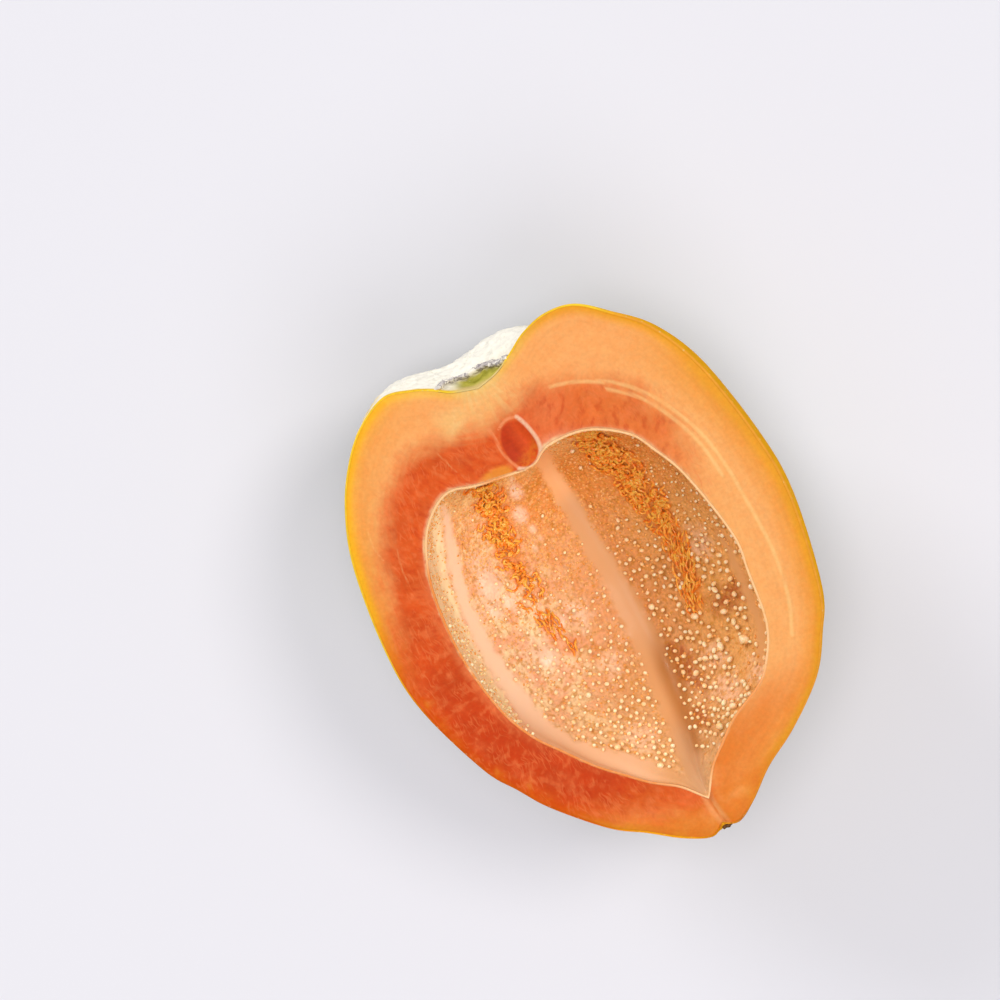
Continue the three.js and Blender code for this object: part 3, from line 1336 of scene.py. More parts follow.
@dataclass(frozen=True)
class TornBark(Finish):
    """Dry grey-white edge where the stem tore off, with darker cracks."""

    pale: str = "#efe9dd"
    grey: str = "#bdb5b2"
    crack: str = "#8a8087"
    grain_mm: float = 2.4

    def dress(self, paint: Paint) -> None:
        """Lays thin cracks over two pale tones.

        Args:
            paint: the material.
        """
        split = abs(paint.speckle(self.grain_mm, 4, (1.5, 1, 0.7)) - HALF)
        mottled = paint.speckle(self.grain_mm, 4).ramp(0.42, 0.6)
        colour = paint.layers(self.pale, (mottled, self.grey), (split.ramp(0.04, 0.01) * 0.85, self.crack))
        paint.link(colour, "Base Color")
        paint.bump(split.ramp(0.0, 0.06), 0.2, 0.8)


@dataclass(frozen=True)
class Speck(Finish):
    """One colour that varies from place to place, for small bits."""

    first: str = "#ffffff"
    second: str = "#ffffff"
    grain_mm: float = 3.0

    def dress(self, paint: Paint) -> None:
        """Blends between the two colours in soft lumps.

        Args:
            paint: the material.
        """
        mix = paint.speckle(self.grain_mm, 2).ramp(0.35, 0.65)
        paint.link(paint.mix(mix, self.first, self.second), "Base Color")
        paint.bump(paint.speckle(self.grain_mm / 4, 2), 0.05, 0.5)


# ---- the sub-assemblies


def edge_fall(places: Array) -> Array:
    """How far the cut face rises near its outline: it falls a little towards the peel, but not at the pit.

    Args:
        places: places on the cut face.

    Returns:
        The rise in mm, negative where the face falls.
    """
    to_skin = distance_to(places, SKIN.rim())
    soft = 0.35 * smoothstep(2.6, 0.4, to_skin)
    sharp = 0.3 * smoothstep(0.6, 0.0, to_skin)
    pit = smoothstep(58, 61, places[:, 1]) * smoothstep(13, 9, np.abs(places[:, 0] - 2))
    return -(soft + sharp) * (1 - pit)


def shoulder_bumps(places: Array) -> Array:
    """How far the pale shoulder round the stem is worn down.

    Args:
        places: places on the skin.

    Returns:
        The wear at each place, in mm.
    """
    deepest, dent, nick = 1.8, 4.0, 1.6
    worn = smoothstep(60, 67, places[:, 1]) * smoothstep(-3, -9, places[:, 2])
    some = worn > 0
    worn[some] *= deepest * np.abs(cloud(places[some], dent) + 0.35 * cloud(places[some], nick))
    return worn


def skin_layer(share: Array, angle: Array, under: float = 0.0, wear: float = 1.0) -> Array:
    """The skin's outside, with the small flat spot that the half rests on, or a layer under it.

    Args:
        share: how far along the outline's length, from 0 to 1.
        angle: the angle round the axis, in radians.
        under: how far under the outside the layer lies, in mm.
        wear: how much of the shoulder's wear it shows.

    Returns:
        x, y and z of each place.
    """
    places = SKIN.layer(share, angle, -under)
    flat = places.reshape(-1, 3)
    if wear:
        flat[:, 1] -= wear * shoulder_bumps(flat)
    flat[:, 2] = np.maximum(flat[:, 2], LOWEST + under)
    return flat.reshape(places.shape)


@dataclass
class Peel:
    """The skin, a thin shell whose cut edge shows as a bright line round the face."""

    workshop: Workshop
    thickness: float = 0.42
    # the pale cap round the stem, partly the peel's own colour and partly a painted highlight
    pale_cap_radius: Pair = (35.0, 25.0)
    pale_cap_depth: Pair = (-36.0, -24.0)
    pit_radius: Pair = (9.5, 8.0)

    def _fields(self, places: Array) -> dict[str, Array]:
        """The values that the skin's finish reads: its zones, from places in mm.

        Args:
            places: the vertices' places.

        Returns:
            One value for each vertex, by name.
        """
        growth = SKIN.growth
        x, y, z = places.T
        off = growth.off(growth.angle_of(places), growth.ridge_angle)
        radius = np.hypot(x - growth.axis_at_waist - growth.axis_lean * y, z)
        near_stem = smoothstep(58, 68, y)
        left = smoothstep(12, -12, x)
        # pale cap round the stem, partly a painted highlight
        pale_cap = near_stem * smoothstep(*self.pale_cap_radius, radius + 5 * cloud(places, 7))
        pale_cap *= smoothstep(*self.pale_cap_depth, z + 4 * cloud(places, 6, 2))
        pit = smoothstep(*self.pit_radius, radius) * (y > 40) * smoothstep(-5, -1, x)
        return {
            "below": -z,
            "sunny": np.clip(left * smoothstep(0, 18, y) + smoothstep(60, 66, y), 0, 1),
            "ember": left * smoothstep(14, -8, y) * smoothstep(-58, -44, y),
            "cut_right": smoothstep(-4, 8, x) * smoothstep(66, 58, y),
            "flush": hump(off, math.radians(13)) * smoothstep(-60, -30, y) * (1 - near_stem),
            "tip": smoothstep(-52, -62, y) * smoothstep(-6, -16, z) * 0.8,
            # pale cap round the stem, partly a painted highlight
            "shoulder": pale_cap * smoothstep(0.6, 2.0, -z),
            "pit": smoothstep(68.0, 66.5, y) * pit,
        }

    def build(self) -> None:
        """Makes the skin as a closed shell."""
        inner = partial(skin_layer, under=self.thickness, wear=0.0)
        shell = HalfShell(skin_layer, inner, outer_columns=160, inner_columns=60, face_columns=3, rows=240)
        finish = WaxySkin(Look.WAXY_SKIN, roughness=0.34, ior=1.45)
        shape = shell.build(edge_fall)
        self.workshop.finish(shape, "papaya_skin", "skin", finish.material(), self._fields)


@dataclass
class Flesh:
    """The flesh between the skin and the cavity's lining, with the flat cut face on top."""

    workshop: Workshop
    under_skin: float = 0.34
    under_lining: float = 0.45
    wear: float = 1.3
    pocket_centre: Pair = (4.4, 45.4)
    pocket_half: Pair = (4.3, 6.3)
    pocket_depth: float = 0.8
    waviness: float = 0.12
    seam_depth: float = 0.9
    red_edge: Points = (
        (0, -56), (-5, -54.5), (-11, -53), (-18, -50.5), (-25, -46), (-32, -39.5), (-39, -30.5), (-44.5, -21),
        (-48.5, -9), (-50, 2), (-49, 12), (-46.5, 22), (-43, 32), (-38, 42), (-31, 50), (-22, 56),
        (-14, 55.5), (-6, 54), (2, 54), (10, 55.5), (19, 54.5), (27.5, 50.5), (34, 45.5), (38.5, 38),
        (40.5, 30), (40, 22), (37, 13), (30, 5), (22, -20), (8, -40), (0, -56),
    )
    veins: tuple[Points, ...] = (
        (
            (29, 49.5), (33.5, 46), (38.5, 40), (42.5, 32), (45, 24), (46, 15), (46, 5), (45.5, -8),
            (43, -20), (39, -29),
        ),
        ((30, 46.5), (36.5, 40), (41, 31), (43.3, 23), (44, 14)),
        ((18, 54), (24, 52), (30, 48.5)),
        ((-15, 54), (-14, 50.5), (-13, 47)),
        ((-36, 38), (-37.5, 33), (-38, 29)),
        ((-40, 46), (-41, 41), (-40.5, 37)),
    )
    pocket_wall: Points = (
        (7.1, 51.7), (7.9, 49.6), (8.5, 46.8), (8.7, 43.8), (7.9, 41.3), (5.8, 39.5), (3.0, 39.1),
        (1.1, 40.2),
    )
    thin_walls: tuple[Points, ...] = (
        ((-0.6, 52.6), (-0.3, 49.5), (-0.6, 46.0), (0.0, 43.0), (1.1, 40.3)),
        ((7.1, 51.7), (4.4, 52.3), (1.6, 51.2)),
    )
    seam: Points = ((0.3, -53.0), (0.0, -57.0), (0.9, -64.0))
    seam_half_width: float = 1.1
    pocket_wall_height: float = 0.35
    pocket_wall_half_width: float = 0.7
    fan_tip: Pair = (2.5, 70.0)
    amber_patch: Patch = (-5.2, 41.2, 4.9, 2.2)
    cloudy_patch: Patch = (-7.0, 58.5, 5.5, 4.5)
    glow_middle: Pair = (11.0, 43.0)
    flare_middle: Pair = (14.5, 49.0)

    def _pocket(self, places: Array) -> Array:
        """How far each place is outside the oval pocket.

        Args:
            places: places on the cut face.

        Returns:
            The distance in mm, negative inside the pocket.
        """
        across = (places[:, 0] - self.pocket_centre[0]) / self.pocket_half[0]
        along = (places[:, 1] - self.pocket_centre[1]) / self.pocket_half[1]
        return (np.hypot(across, along) - 1) * self.pocket_half[0]

    def _seam(self, places: Array) -> Array:
        """How far each place is from the seam between the cavity's tip and the blossom scar, in mm."""
        return distance_to(places, np.array(self.seam))

    def _nearest(self, places: Array, lines: tuple[Points, ...], steps: int) -> Array:
        """How far each place is from the nearest of some smooth lines, in mm."""
        return np.min([distance_to(places, Outline(points).line(steps)) for points in lines], axis=0)

    def _off(self, places: Array, patch: Patch) -> Array:
        """How far each place is from the middle of an oval patch: 1 is on its edge."""
        u, v, across, along = patch
        return np.hypot((places[:, 0] - u) / across, (places[:, 1] - v) / along)

    def _halo(self, x: Array, y: Array) -> Array:
        """How wide the pale edge round the cavity is: widest at the top left and beside the pocket.

        Args:
            x: places across the fruit.
            y: places along it.

        Returns:
            The width in mm at each place.
        """
        corner = smoothstep(24, 36, y) * smoothstep(-9, -15, x)
        pocket = hump(x - 10.5, 3.0) * smoothstep(36, 40, y)
        return 0.2 + 0.35 * smoothstep(-5, 25, y) + 0.3 * corner + 0.5 * pocket + 0.2 * smoothstep(4, 12, x)

    def _rise(self, places: Array) -> Array:
        """How far the cut face rises: a knife's slight waves, the pocket's dish, the seam and a soft edge.

        Args:
            places: places on the cut face.

        Returns:
            The rise in mm.
        """
        to_skin = distance_to(places, SKIN.rim())
        edge = np.minimum(to_skin, distance_to(places, CAVITY.rim()))
        waves = self.waviness * cloud(places, 9.0) * smoothstep(1.0, 4.0, edge)
        dish = -self.pocket_depth * smoothstep(0.0, -2.6, self._pocket(places))
        off_wall = self._nearest(places, (self.pocket_wall,), 60)
        wall = self.pocket_wall_height * hump(off_wall, self.pocket_wall_half_width)
        seam = -self.seam_depth * hump(self._seam(places), self.seam_half_width)
        return waves + dish + wall + edge_fall(places) + seam

    def _fields(self, places: Array) -> dict[str, Array]:
        """The values that the flesh's finish reads: its zones, from places in mm.

        Args:
            places: the vertices' places.

        Returns:
            One value for each vertex, by name.
        """
        x, y, _ = places.T
        loop = Outline(self.red_edge).line()
        to_skin, to_rim = distance_to(places, SKIN.rim()), distance_to(places, CAVITY.rim())
        turn = np.arctan2(y - 5, x - 1)
        fan = np.hypot(x - self.fan_tip[0], y - self.fan_tip[1])
        aside = np.arctan2(x - self.fan_tip[0], self.fan_tip[1] - y)
        off_glow = np.hypot(x - self.glow_middle[0], y - self.glow_middle[1])
        off_flare = np.hypot(x - self.flare_middle[0], y - self.flare_middle[1])
        off_cloud = self._off(places, self.cloudy_patch)
        left = smoothstep(4, -12, x)
        inner = to_skin / (to_skin + to_rim + 1e-6)
        return {
            "depth": inner,
            "ring_x": 5 * np.cos(turn),
            "ring_y": 5 * np.sin(turn),
            "ring_in": to_skin / 1.1,
            "sunny": left * smoothstep(5, 38, y),
            "notch": smoothstep(24, 12, np.abs(x - 2)) * smoothstep(54, 62, y) * 0.85,
            "ember": left * smoothstep(30, 0, y) * smoothstep(-56, -38, y),
            "crown": smoothstep(36, 60, y) * (0.4 + 0.45 * smoothstep(-26, -8, x)),
            "red": distance_to(places, loop) * np.where(inside(places, loop), 1, -1),
            "deep": left * smoothstep(34, -16, y) * 0.8,
            "red_share": 1 - smoothstep(12, 26, x) * smoothstep(36, 6, y) * 0.8,
            "soft_red": smoothstep(8, 30, x) * 0.9,
            "tip_red": left * smoothstep(-38, -50, y) * 0.8,
            "tip_right": smoothstep(0, 8, x) * smoothstep(-32, -46, y) * smoothstep(0.35, 0.8, inner) * 0.8,
            "low_right": np.maximum(
                smoothstep(0, 6, x) * smoothstep(-30, -46, y) * smoothstep(0.0, 0.35, inner) * 0.75,
                smoothstep(-49, -56, y) * 0.95,
            ),
            "glow": np.maximum(
                hump(to_rim, 2.2) * hump(off_glow, 6.0) * 0.8,
                hump(to_rim, 1.0) * smoothstep(18, 34, y) * (1 - hump(x + 1, 6)) * 0.55,
            ),
            "halo": smoothstep(0.35, -0.15, to_rim + 0.3 * cloud(places, 1.6) - self._halo(x, y)),
            "flare": np.maximum(
                left * smoothstep(3.5, 0.5, to_rim) * hump(y - 5, 26) * 0.55,
                hump(off_flare, 5.0) * 0.55,
            ),
            "cream": smoothstep(22, 5, fan) * smoothstep(1.0, 0.35, np.abs(aside)) * 0.9,
            "cloudy": smoothstep(1.3, 0.2, off_cloud + 0.3 * cloud(places, 3.0)) * 0.6,
            "fan_angle": aside * 9,
            "fan_out": fan / 9,
            "amber": smoothstep(1.15, 0.75, self._off(places, self.amber_patch)),
            "vein": self._nearest(places, self.veins, 40) + 0.4 * left,
            "pocket": self._pocket(places),
            "wall": self._nearest(places, (self.pocket_wall,), 60),
            "wall_thin": self._nearest(places, self.thin_walls, 30),
            "pocket_lit": smoothstep(2, 6, x),
            "pocket_low": smoothstep(1.0, -2.5, y - 43.5 - 0.5 * (x - 4)) * 0.9,
            "seam": self._seam(places),
        }

    def build(self) -> None:
        """Makes the flesh, with its outside hidden in the skin and its inside in the lining."""
        outer = partial(skin_layer, under=self.under_skin, wear=self.wear)
        inner = partial(CAVITY.layer, out=self.under_lining)
        shell = HalfShell(outer, inner, outer_columns=60, inner_columns=60, face_columns=44, rows=240)
        finish = RipeFlesh(Look.RIPE_FLESH, roughness=0.45, ior=1.2, subsurface=0.12, subsurface_mm=1.5)
        shape = shell.build(self._rise)
        self.workshop.finish(shape, "papaya_flesh", "flesh", finish.material(), self._fields)


@dataclass(frozen=True)
class FibreBand:
    """A band of curly fibres that runs up the cavity where the seeds grew thickest."""

    strip: Strip
    count: int
    patchy: float
    fading: float = 0.0
    gap_size: float = 5.5

    def nearness(self, places: Array) -> Array:
        """How near each place is to the band. A patchy band has bare gaps, and a fading one thins out below.

        Args:
            places: places on the cavity's wall.

        Returns:
            A share from 0 to 1 for each place.
        """
        along = places[:, 1]
        near = smoothstep(1.8, -1.6, self.strip.outside(places))
        gaps = self.patchy * smoothstep(24, 10, along)
        gaps = gaps * smoothstep(0.1, -0.25, cloud(places, self.gap_size, 3.0))
        return near * (1 - gaps) * (1 - self.fading * smoothstep(6, -5, along))


BANDS = (
    FibreBand(
        Strip(
            middle=((-9, 40.5), (-10.4, 33), (-11.9, 22), (-12.2, 12), (-12.5, 4), (-11.8, -3), (-11.2, -9)),
            half=(2.0, 2.4, 2.3, 2.0, 1.9, 2.1, 1.8),
        ),
        count=225,
        patchy=0.9,
        fading=0.62,
    ),
    FibreBand(
        Strip(
            middle=(
                (19.5, 39), (22, 33), (24, 26), (25, 18), (25.8, 10), (25.2, 3), (24.3, -5), (21.5, -12.5),
            ),
            half=(1.8, 2.8, 3.0, 3.0, 2.5, 2.1, 1.9, 1.1),
        ),
        count=440,
        patchy=0.3,
    ),
)


@dataclass(frozen=True)
class Spot:
    """A place on the cavity's wall where something grows."""

    at: Vector
    out: Vector
    radius: float
    turn: float

    def pose(self, risen: float, stretch: Sequence[float]) -> Matrix:
        """How a bit that grows here stands on the wall.

        Args:
            risen: how far its middle is off the wall, in radii.
            stretch: its size along its three axes, in radii.

        Returns:
            The matrix that sets it in its place.
        """
        turned = self.out.to_track_quat("Z", "Y").to_matrix().to_4x4()
        place = Matrix.Translation(self.at + self.out * (risen * self.radius))
        return place @ turned @ Matrix.Rotation(self.turn, 4, "Z") @ Matrix.Diagonal((*stretch, 1))


@dataclass
class Lining:
    """The cavity's thin lining, lumpy between five smooth grooves, with a pale edge at the rim."""

    workshop: Workshop
    thickness: float = 0.55
    swell: float = 0.45
    swell_size: float = 3.2
    grit: float = 0.25
    grit_size: float = 1.1
    proud: float = 0.03
    lumps: Sets = (
        (-1.9, 38.4, 1.1), (-2.5, 35.5, 1.9), (-4.5, 30, 2.0), (-3.7, 25.4, 1.3), (-3.1, 22.6, 1.0),
        (-5.6, 21.0, 1.1), (-20.3, 18.5, 2.8), (-18.0, 12.5, 2.0), (-22.3, 12.0, 1.8), (-9.0, 2.0, 1.6),
        (-16.5, -4.5, 2.2),
    )
    lump_height: float = 0.55
    # where shade is painted down the right side of the middle groove, as seen from above
    crease: Strip = Strip(
        middle=((9.6, -6), (9.2, -14), (8.4, -21), (7.2, -28), (5.8, -35), (4.4, -42)),
        half=(0.4, 1.2, 1.8, 1.6, 1.0, 0.2),
    )
    # the two patches by the middle groove are painted shade; the one on the right is a brown patch
    brown_patches: Patches = ((12.0, -23, 3.6, 9.5), (9.0, -36, 2.5, 4), (30.5, -12.5, 6.2, 4.4))
    pink_patches: Patches = (
        (18.5, -32.5, 4.5, 4.5), (28.5, -33, 5, 3.5), (31, 2, 3, 5), (-23, 15, 4, 5), (-18, -3, 4, 5),
        (-5, 1, 4, 5), (-6.5, -33, 5, 5), (-20, 24, 3, 5), (-4, -14, 3.5, 4.5), (20, -24, 3, 4),
    )
    # how far the painted shade and stain round a pearl reach, and how far they shift away from the light
    stain_reach: Pair = (2.3, 1.1)
    stain_offset: Trio = (0.12, -0.3, 0.0)
    deepest_dent: float = -0.3
    pearls: tuple[Spot, ...] = ()

    def smoothness(self, places: Array) -> Array:
        """How smooth each place is: 1 in the grooves, 0 between them."""
        outside = np.min([groove.outside(places) for groove in GROOVES], axis=0)
        return smoothstep(1.15, -0.9, outside + 0.95 * cloud(places, 2.4, 5.0))

    def band(self, places: Array) -> Array:
        """How near each place is to one of the two bands of fibres, from 0 to 1."""
        return np.max([band.nearness(places) for band in BANDS], axis=0)

    def lump(self, places: Array) -> Array:
        """How near each place is to the middle of one of the glossy lumps.

        Args:
            places: places on the cavity's wall.

        Returns:
            A share from 0 to about 1 for each place, higher on the larger lumps.
        """
        seen = VIEW.on_face(places)
        away = [np.hypot(seen[:, 0] - u, 0.8 * (seen[:, 1] - v)) / half for u, v, half in self.lumps]
        return np.max([hump(a, 1.0) * half / 2 for a, (_, _, half) in zip(away, self.lumps)], axis=0)

    def patch(self, places: Array, patches: Patches) -> Array:
        """How near each place is to the middle of one of some uneven patches.

        Args:
            places: places on the cavity's wall.
            patches: the middle and the half sizes of each patch, as seen from above.

        Returns:
            A share from 0 to 1 for each place.
        """
        u, v = VIEW.on_face(places).T
        uneven = 0.45 * cloud(places, 3.0, 9.0)
        away = [np.hypot((u - patch[0]) / patch[2], (v - patch[1]) / patch[3]) for patch in patches]
        return smoothstep(1.25, 0.35, np.min(away, axis=0) + uneven)

    def _stain(self, places: Array) -> Array:
        """How much painted shade and stain lies round a pearl's foot, most on its far side from the light.

        Args:
            places: places on the cavity's wall.

        Returns:
            A share from 0 to 1 for each place, fainter on the left wall.
        """
        feet = KDTree(len(self.pearls))
        for number, spot in enumerate(self.pearls):
            feet.insert(spot.at + Vector(self.stain_offset) * spot.radius * 2, number)
        feet.balance()
        found = [feet.find(place) for place in places]
        away = np.array([distance / self.pearls[number].radius for _, number, distance in found])
        fainter = smoothstep(-31, -27, places[:, 0]) * (0.45 + 0.55 * smoothstep(0, 12, places[:, 0]))
        return smoothstep(*self.stain_reach, away) * fainter

    def surface(self, share: Array, angle: Array) -> Array:
        """The lining's visible side, with its lumps.

        Args:
            share: how far along the outline's length, from 0 to 1.
            angle: the angle round the axis, in radians.

        Returns:
            x, y and z of each place.
        """
        share, angle = np.broadcast_arrays(share, angle)
        base = CAVITY.layer(share, angle)
        normal = CAVITY.normals(CAVITY.even(share), angle)
        flat = base.reshape(-1, 3)
        rough = (1 - self.smoothness(flat)) * smoothstep(0.3, 2.5, -flat[:, 2])
        swells = self.swell * cloud(flat, self.swell_size) + self.grit * cloud(flat, self.grit_size, 7.0)
        rise = np.maximum(rough * (swells + 2 * self.lump_height * self.lump(flat)), self.deepest_dent)
        return base - normal * rise.reshape(base.shape[:-1])[..., None]

    def _fields(self, places: Array) -> dict[str, Array]:
        """The values that the lining's finish reads: its zones, from places in mm.

        Args:
            places: the vertices' places.

        Returns:
            One value for each vertex, by name.
        """
        x, y, z = places.T
        seen = VIEW.on_face(places)
        middle = np.array(sorted(LEFT_GROOVE.middle, key=lambda at: at[1]))
        beyond = seen[:, 0] < np.interp(seen[:, 1], middle[:, 1], middle[:, 0])
        under_pocket = 0.8 * hump(x + 5.4, 3.2)
        return {
            # pale strip, partly painted light on the shaded steep wall
            "strip": smoothstep(0.0, 1.0, LEFT_GROOVE.outside(places)) * beyond,
            "smooth": self.smoothness(places),
            "stemward": smoothstep(-5, 40, y),
            "grainy": 0.12 + 0.88 * smoothstep(-6, 26, y),
            # painted shade and stain round the pearls' feet
            "stain": self._stain(places),
            # brown patch and painted shade beside the middle groove
            "brown_patch": self.patch(places, self.brown_patches),
            "pink_patch": self.patch(places, self.pink_patches),
            "band": self.band(places),
            # where light is painted on the wall under the top rim
            "top": smoothstep(33, 41, y),
            "lump": self.lump(places),
            "inner": smoothstep(-20, -6, x) * 0.9,
            "low": smoothstep(-8, -34, y) * 0.7,
            "tail": smoothstep(-34, -42, y) * smoothstep(-6, 0, x) * 0.9,
            "lip": np.maximum(
                np.maximum(hump(x - 5, 4.5), hump(x + 18, 6) * 0.8) * smoothstep(30, 36, y) * 1.1,
                smoothstep(-20, -30, x) * smoothstep(8, 26, y) * 0.9,
            ),
            "right": smoothstep(4, 22, x),
            "left": smoothstep(-4, -20, x),
            # painted shade down the right side of the middle groove
            "crease": smoothstep(3.0, -0.8, self.crease.outside(places)) * smoothstep(-12, -26, y),
            "below": -z,
            "rim": np.maximum(smoothstep(-12, 0, x), smoothstep(26, 34, y)) * (1 - under_pocket * (y > 30)),
            "rim_low": smoothstep(2, 6, x) * smoothstep(-30, -37, y) * 0.9,
        }

    def build(self) -> None:
        """Makes the lining."""
        back = partial(CAVITY.layer, out=self.thickness)
        shell = HalfShell(back, self.surface, outer_columns=40, inner_columns=250, face_columns=2, rows=280)
        finish = CavityLining(
            Look.LINING, roughness=0.4, ior=1.35, coat=0.05, subsurface=0.1, subsurface_mm=1.0
        )
        shape = shell.build(lambda places: np.full(len(places), self.proud))
        self.workshop.finish(shape, "cavity_lining", "lining", finish.material(), self._fields)


@dataclass
class SeedStalks:
    """The stubs that the seeds hung on: pale pearls below, small orange grains towards the stem."""

    workshop: Workshop
    lining: Lining
    pearl_tries: int = 10000
    pearl_radius: Pair = (0.42, 0.71)
    pearl_gap: float = 1.62
    big_pearls: Sets = (
        (28, -23.7, 1.3), (22.5, -23, 0.95), (20.8, -12.5, 1.0), (13, -6.2, 0.9), (14, -26.3, 0.85),
        (27.5, -16.7, 0.85), (17.6, -24.3, 0.85), (12, -41, 1.0), (18, -38.5, 0.95), (-12.3, -18.2, 0.8),
        (-5.5, -42, 0.85), (-13.8, -34, 0.8),
    )
    grain_tries: int = 14000
    grain_radius: Pair = (0.26, 0.44)
    grain_gap: float = 0.8
    pearl_stretch: Trio = (1.1, 0.9, 1.0)
    longer: float = 0.35
    length_waves: float = 9.7
    long_from: float = 10.0
    pearl_risen: float = 0.45
    grain_stretch: Trio = (1.5, 0.85, 0.9)
    grain_risen: float = 0.15
    reach: Pair = (0.04, 0.96)
    sweep: Pair = (math.pi * 1.01, math.pi * 1.99)
    mostly_small: float = 1.3
    seed: int = 11

    def _spots(
        self, tries: int, radius: Pair, gap: float, chance: Callable[[Array], Array], seed: int
    ) -> list[Spot]:
        """Draws places on the wall that keep a gap between them.

        Args:
            tries: how many places are drawn.
            radius: the smallest and largest radius.
            gap: the least distance between two of them, in mm.
            chance: how likely each place is to be kept.
            seed: starts the random draw.

        Returns:
            The places that are kept.
        """
        draw = np.random.default_rng(seed)
        share = draw.uniform(*self.reach, tries)
        angle = draw.uniform(*self.sweep, tries)
        at = self.lining.surface(share, angle)
        out = -CAVITY.normals(CAVITY.even(share), angle)
        kept = draw.uniform(size=tries) < chance(at)
        sizes = radius[0] + (radius[1] - radius[0]) * draw.uniform(size=tries) ** self.mostly_small
        sizes *= 0.7 + 0.2 * smoothstep(20, -15, at[:, 1]) + 0.15 * smoothstep(4, 12, at[:, 0])
        sizes *= 1 - 0.3 * smoothstep(-8, 14, at[:, 1]) * (at[:, 0] > 12)
        turns = draw.uniform(0, math.pi, tries)
        return [
            Spot(Vector(at[number]), Vector(out[number]), float(sizes[number]), float(turns[number]))
            for number in self._thinned(at, np.flatnonzero(kept), gap)
        ]

    def _thinned(self, at: Array, order: Array, gap: float) -> list[int]:
        """Leaves out each place that is too near one before it.

        Args:
            at: all the places.
            order: the numbers of the places to choose from, in order.
            gap: the least distance between two of them, in mm.

        Returns:
            The numbers of the places that stay.
        """
        steps = list(product((-1, 0, 1), repeat=3))
        boxes: dict[tuple[int, ...], list[Array]] = {}
        stay = []
        for number in order:
            place = at[number]
            box = tuple(int(c) for c in np.floor(place / gap))
            near = [other for step in steps for other in boxes.get(tuple(map(sum, zip(box, step))), [])]
            if all(np.linalg.norm(place - other) >= gap for other in near):
                boxes.setdefault(box, []).append(place)
                stay.append(number)
        return stay

    def pearls(self) -> list[Spot]:
        """Draws the pearls, with the few large ones in their places.

        Returns:
            Where the pearls grow.
        """
        sizes = (self.pearl_tries, self.pearl_radius, self.pearl_gap)
        spots = self._spots(*sizes, self._pearl_chance, self.seed)
        seen = VIEW.on_face(np.array([tuple(spot.at) for spot in spots]))
        for u, v, radius in self.big_pearls:
            nearest = int(np.argmin(np.hypot(seen[:, 0] - u, seen[:, 1] - v)))
            spots[nearest] = Spot(spots[nearest].at, spots[nearest].out, radius, spots[nearest].turn)
        return spots

    def _pearl_chance(self, places: Array) -> Array:
        """Pearls grow in the lower half and up the outer walls, never in a groove, a band or at the rim.

        Args:
            places: places on the cavity's wall.

        Returns:
            How likely a pearl is at each place.
        """
        across, along = VIEW.on_face(places).T
        middle = (0.36 + 0.5 * smoothstep(4, -16, along)) * smoothstep(20, 11, along) * (across < 6)
        between = 0.6 * smoothstep(20, 8, along) * (across > 6.5) * (across < 23)
        right = 0.56 * smoothstep(26, 28, across) * (0.2 + 0.8 * smoothstep(27, 14, along))
        right = right * smoothstep(32, 26, along)
        left = (across < -29) * smoothstep(38, 30, along) * 0.1
        clear = (1 - self.lining.smoothness(places)) * smoothstep(0.6, 1.6, -places[:, 2])
        clear *= 1 - smoothstep(0.3, 0.7, self.lining.band(places))
        clear *= 1 - 0.75 * self.lining.patch(places, self.lining.pink_patches[:2])
        clear *= 1 - smoothstep(18, 24, across) * smoothstep(-3.5, -1.8, places[:, 2])
        most = np.max([middle, between, right, left], axis=0)
        return np.clip(most, 0.02, 1) * clear * smoothstep(-45, -41, along)

    def _grain_chance(self, places: Array) -> Array:
        """Grains cover the stem half and thin out below.

        Args:
            places: places on the cavity's wall.

        Returns:
            How likely a grain is at each place.
        """
        x, y, z = places.T
        clear = (1 - self.lining.smoothness(places)) * smoothstep(0.5, 1.2, -z)
        clear = clear * (1 - self.lining.lump(places))
        most = np.clip(smoothstep(-10, 24, y) + 0.16 * smoothstep(-42, -30, y), 0, 1)
        return most * clear * (1 - 0.6 * (x < -31))

    def _pearl(self, shape: bmesh.types.BMesh, spot: Spot) -> None:
        """Adds a pearl. Some of those on the right are long.

        Args:
            shape: the mesh that it is added to.
            spot: where it grows.
        """
        long, wide, tall = self.pearl_stretch
        long += self.longer * max(0.0, math.sin(self.length_waves * spot.turn)) * (spot.at.x > self.long_from)
        place = spot.pose(self.pearl_risen, (long, wide, tall))
        bmesh.ops.create_uvsphere(shape, u_segments=9, v_segments=6, radius=spot.radius, matrix=place)

    def _grain(self, shape: bmesh.types.BMesh, spot: Spot) -> None:
        """Adds a grain, lying low on the wall."""
        place = spot.pose(self.grain_risen, self.grain_stretch)
        bmesh.ops.create_icosphere(shape, subdivisions=1, radius=spot.radius, matrix=place)

    def build(self, pearls: Sequence[Spot]) -> None:
        """Makes the pearls and the grains.

        Args:
            pearls: where the pearls grow.
        """
        sizes = (self.grain_tries, self.grain_radius, self.grain_gap)
        grains = self._spots(*sizes, self._grain_chance, self.seed + 1)
        pearly = Speck(
            Look.PEARL, roughness=0.32, ior=1.4, coat=0.05, subsurface=0.25, subsurface_mm=0.8,
            first="#ffedc4", second="#ffd294", grain_mm=1.5,
        )
        shape = scatter(pearls, self._pearl)
        self.workshop.finish(shape, "seed_stalk_pearls", "lining", pearly.material())
        grainy = Speck(
            Look.GRAIN, roughness=0.3, ior=1.4, coat=0.1,
            first="#fdc274", second="#e8973c", grain_mm=1.2,
        )
        shape = scatter(grains, self._grain)
        self.workshop.finish(shape, "seed_stalk_grains", "lining", grainy.material())


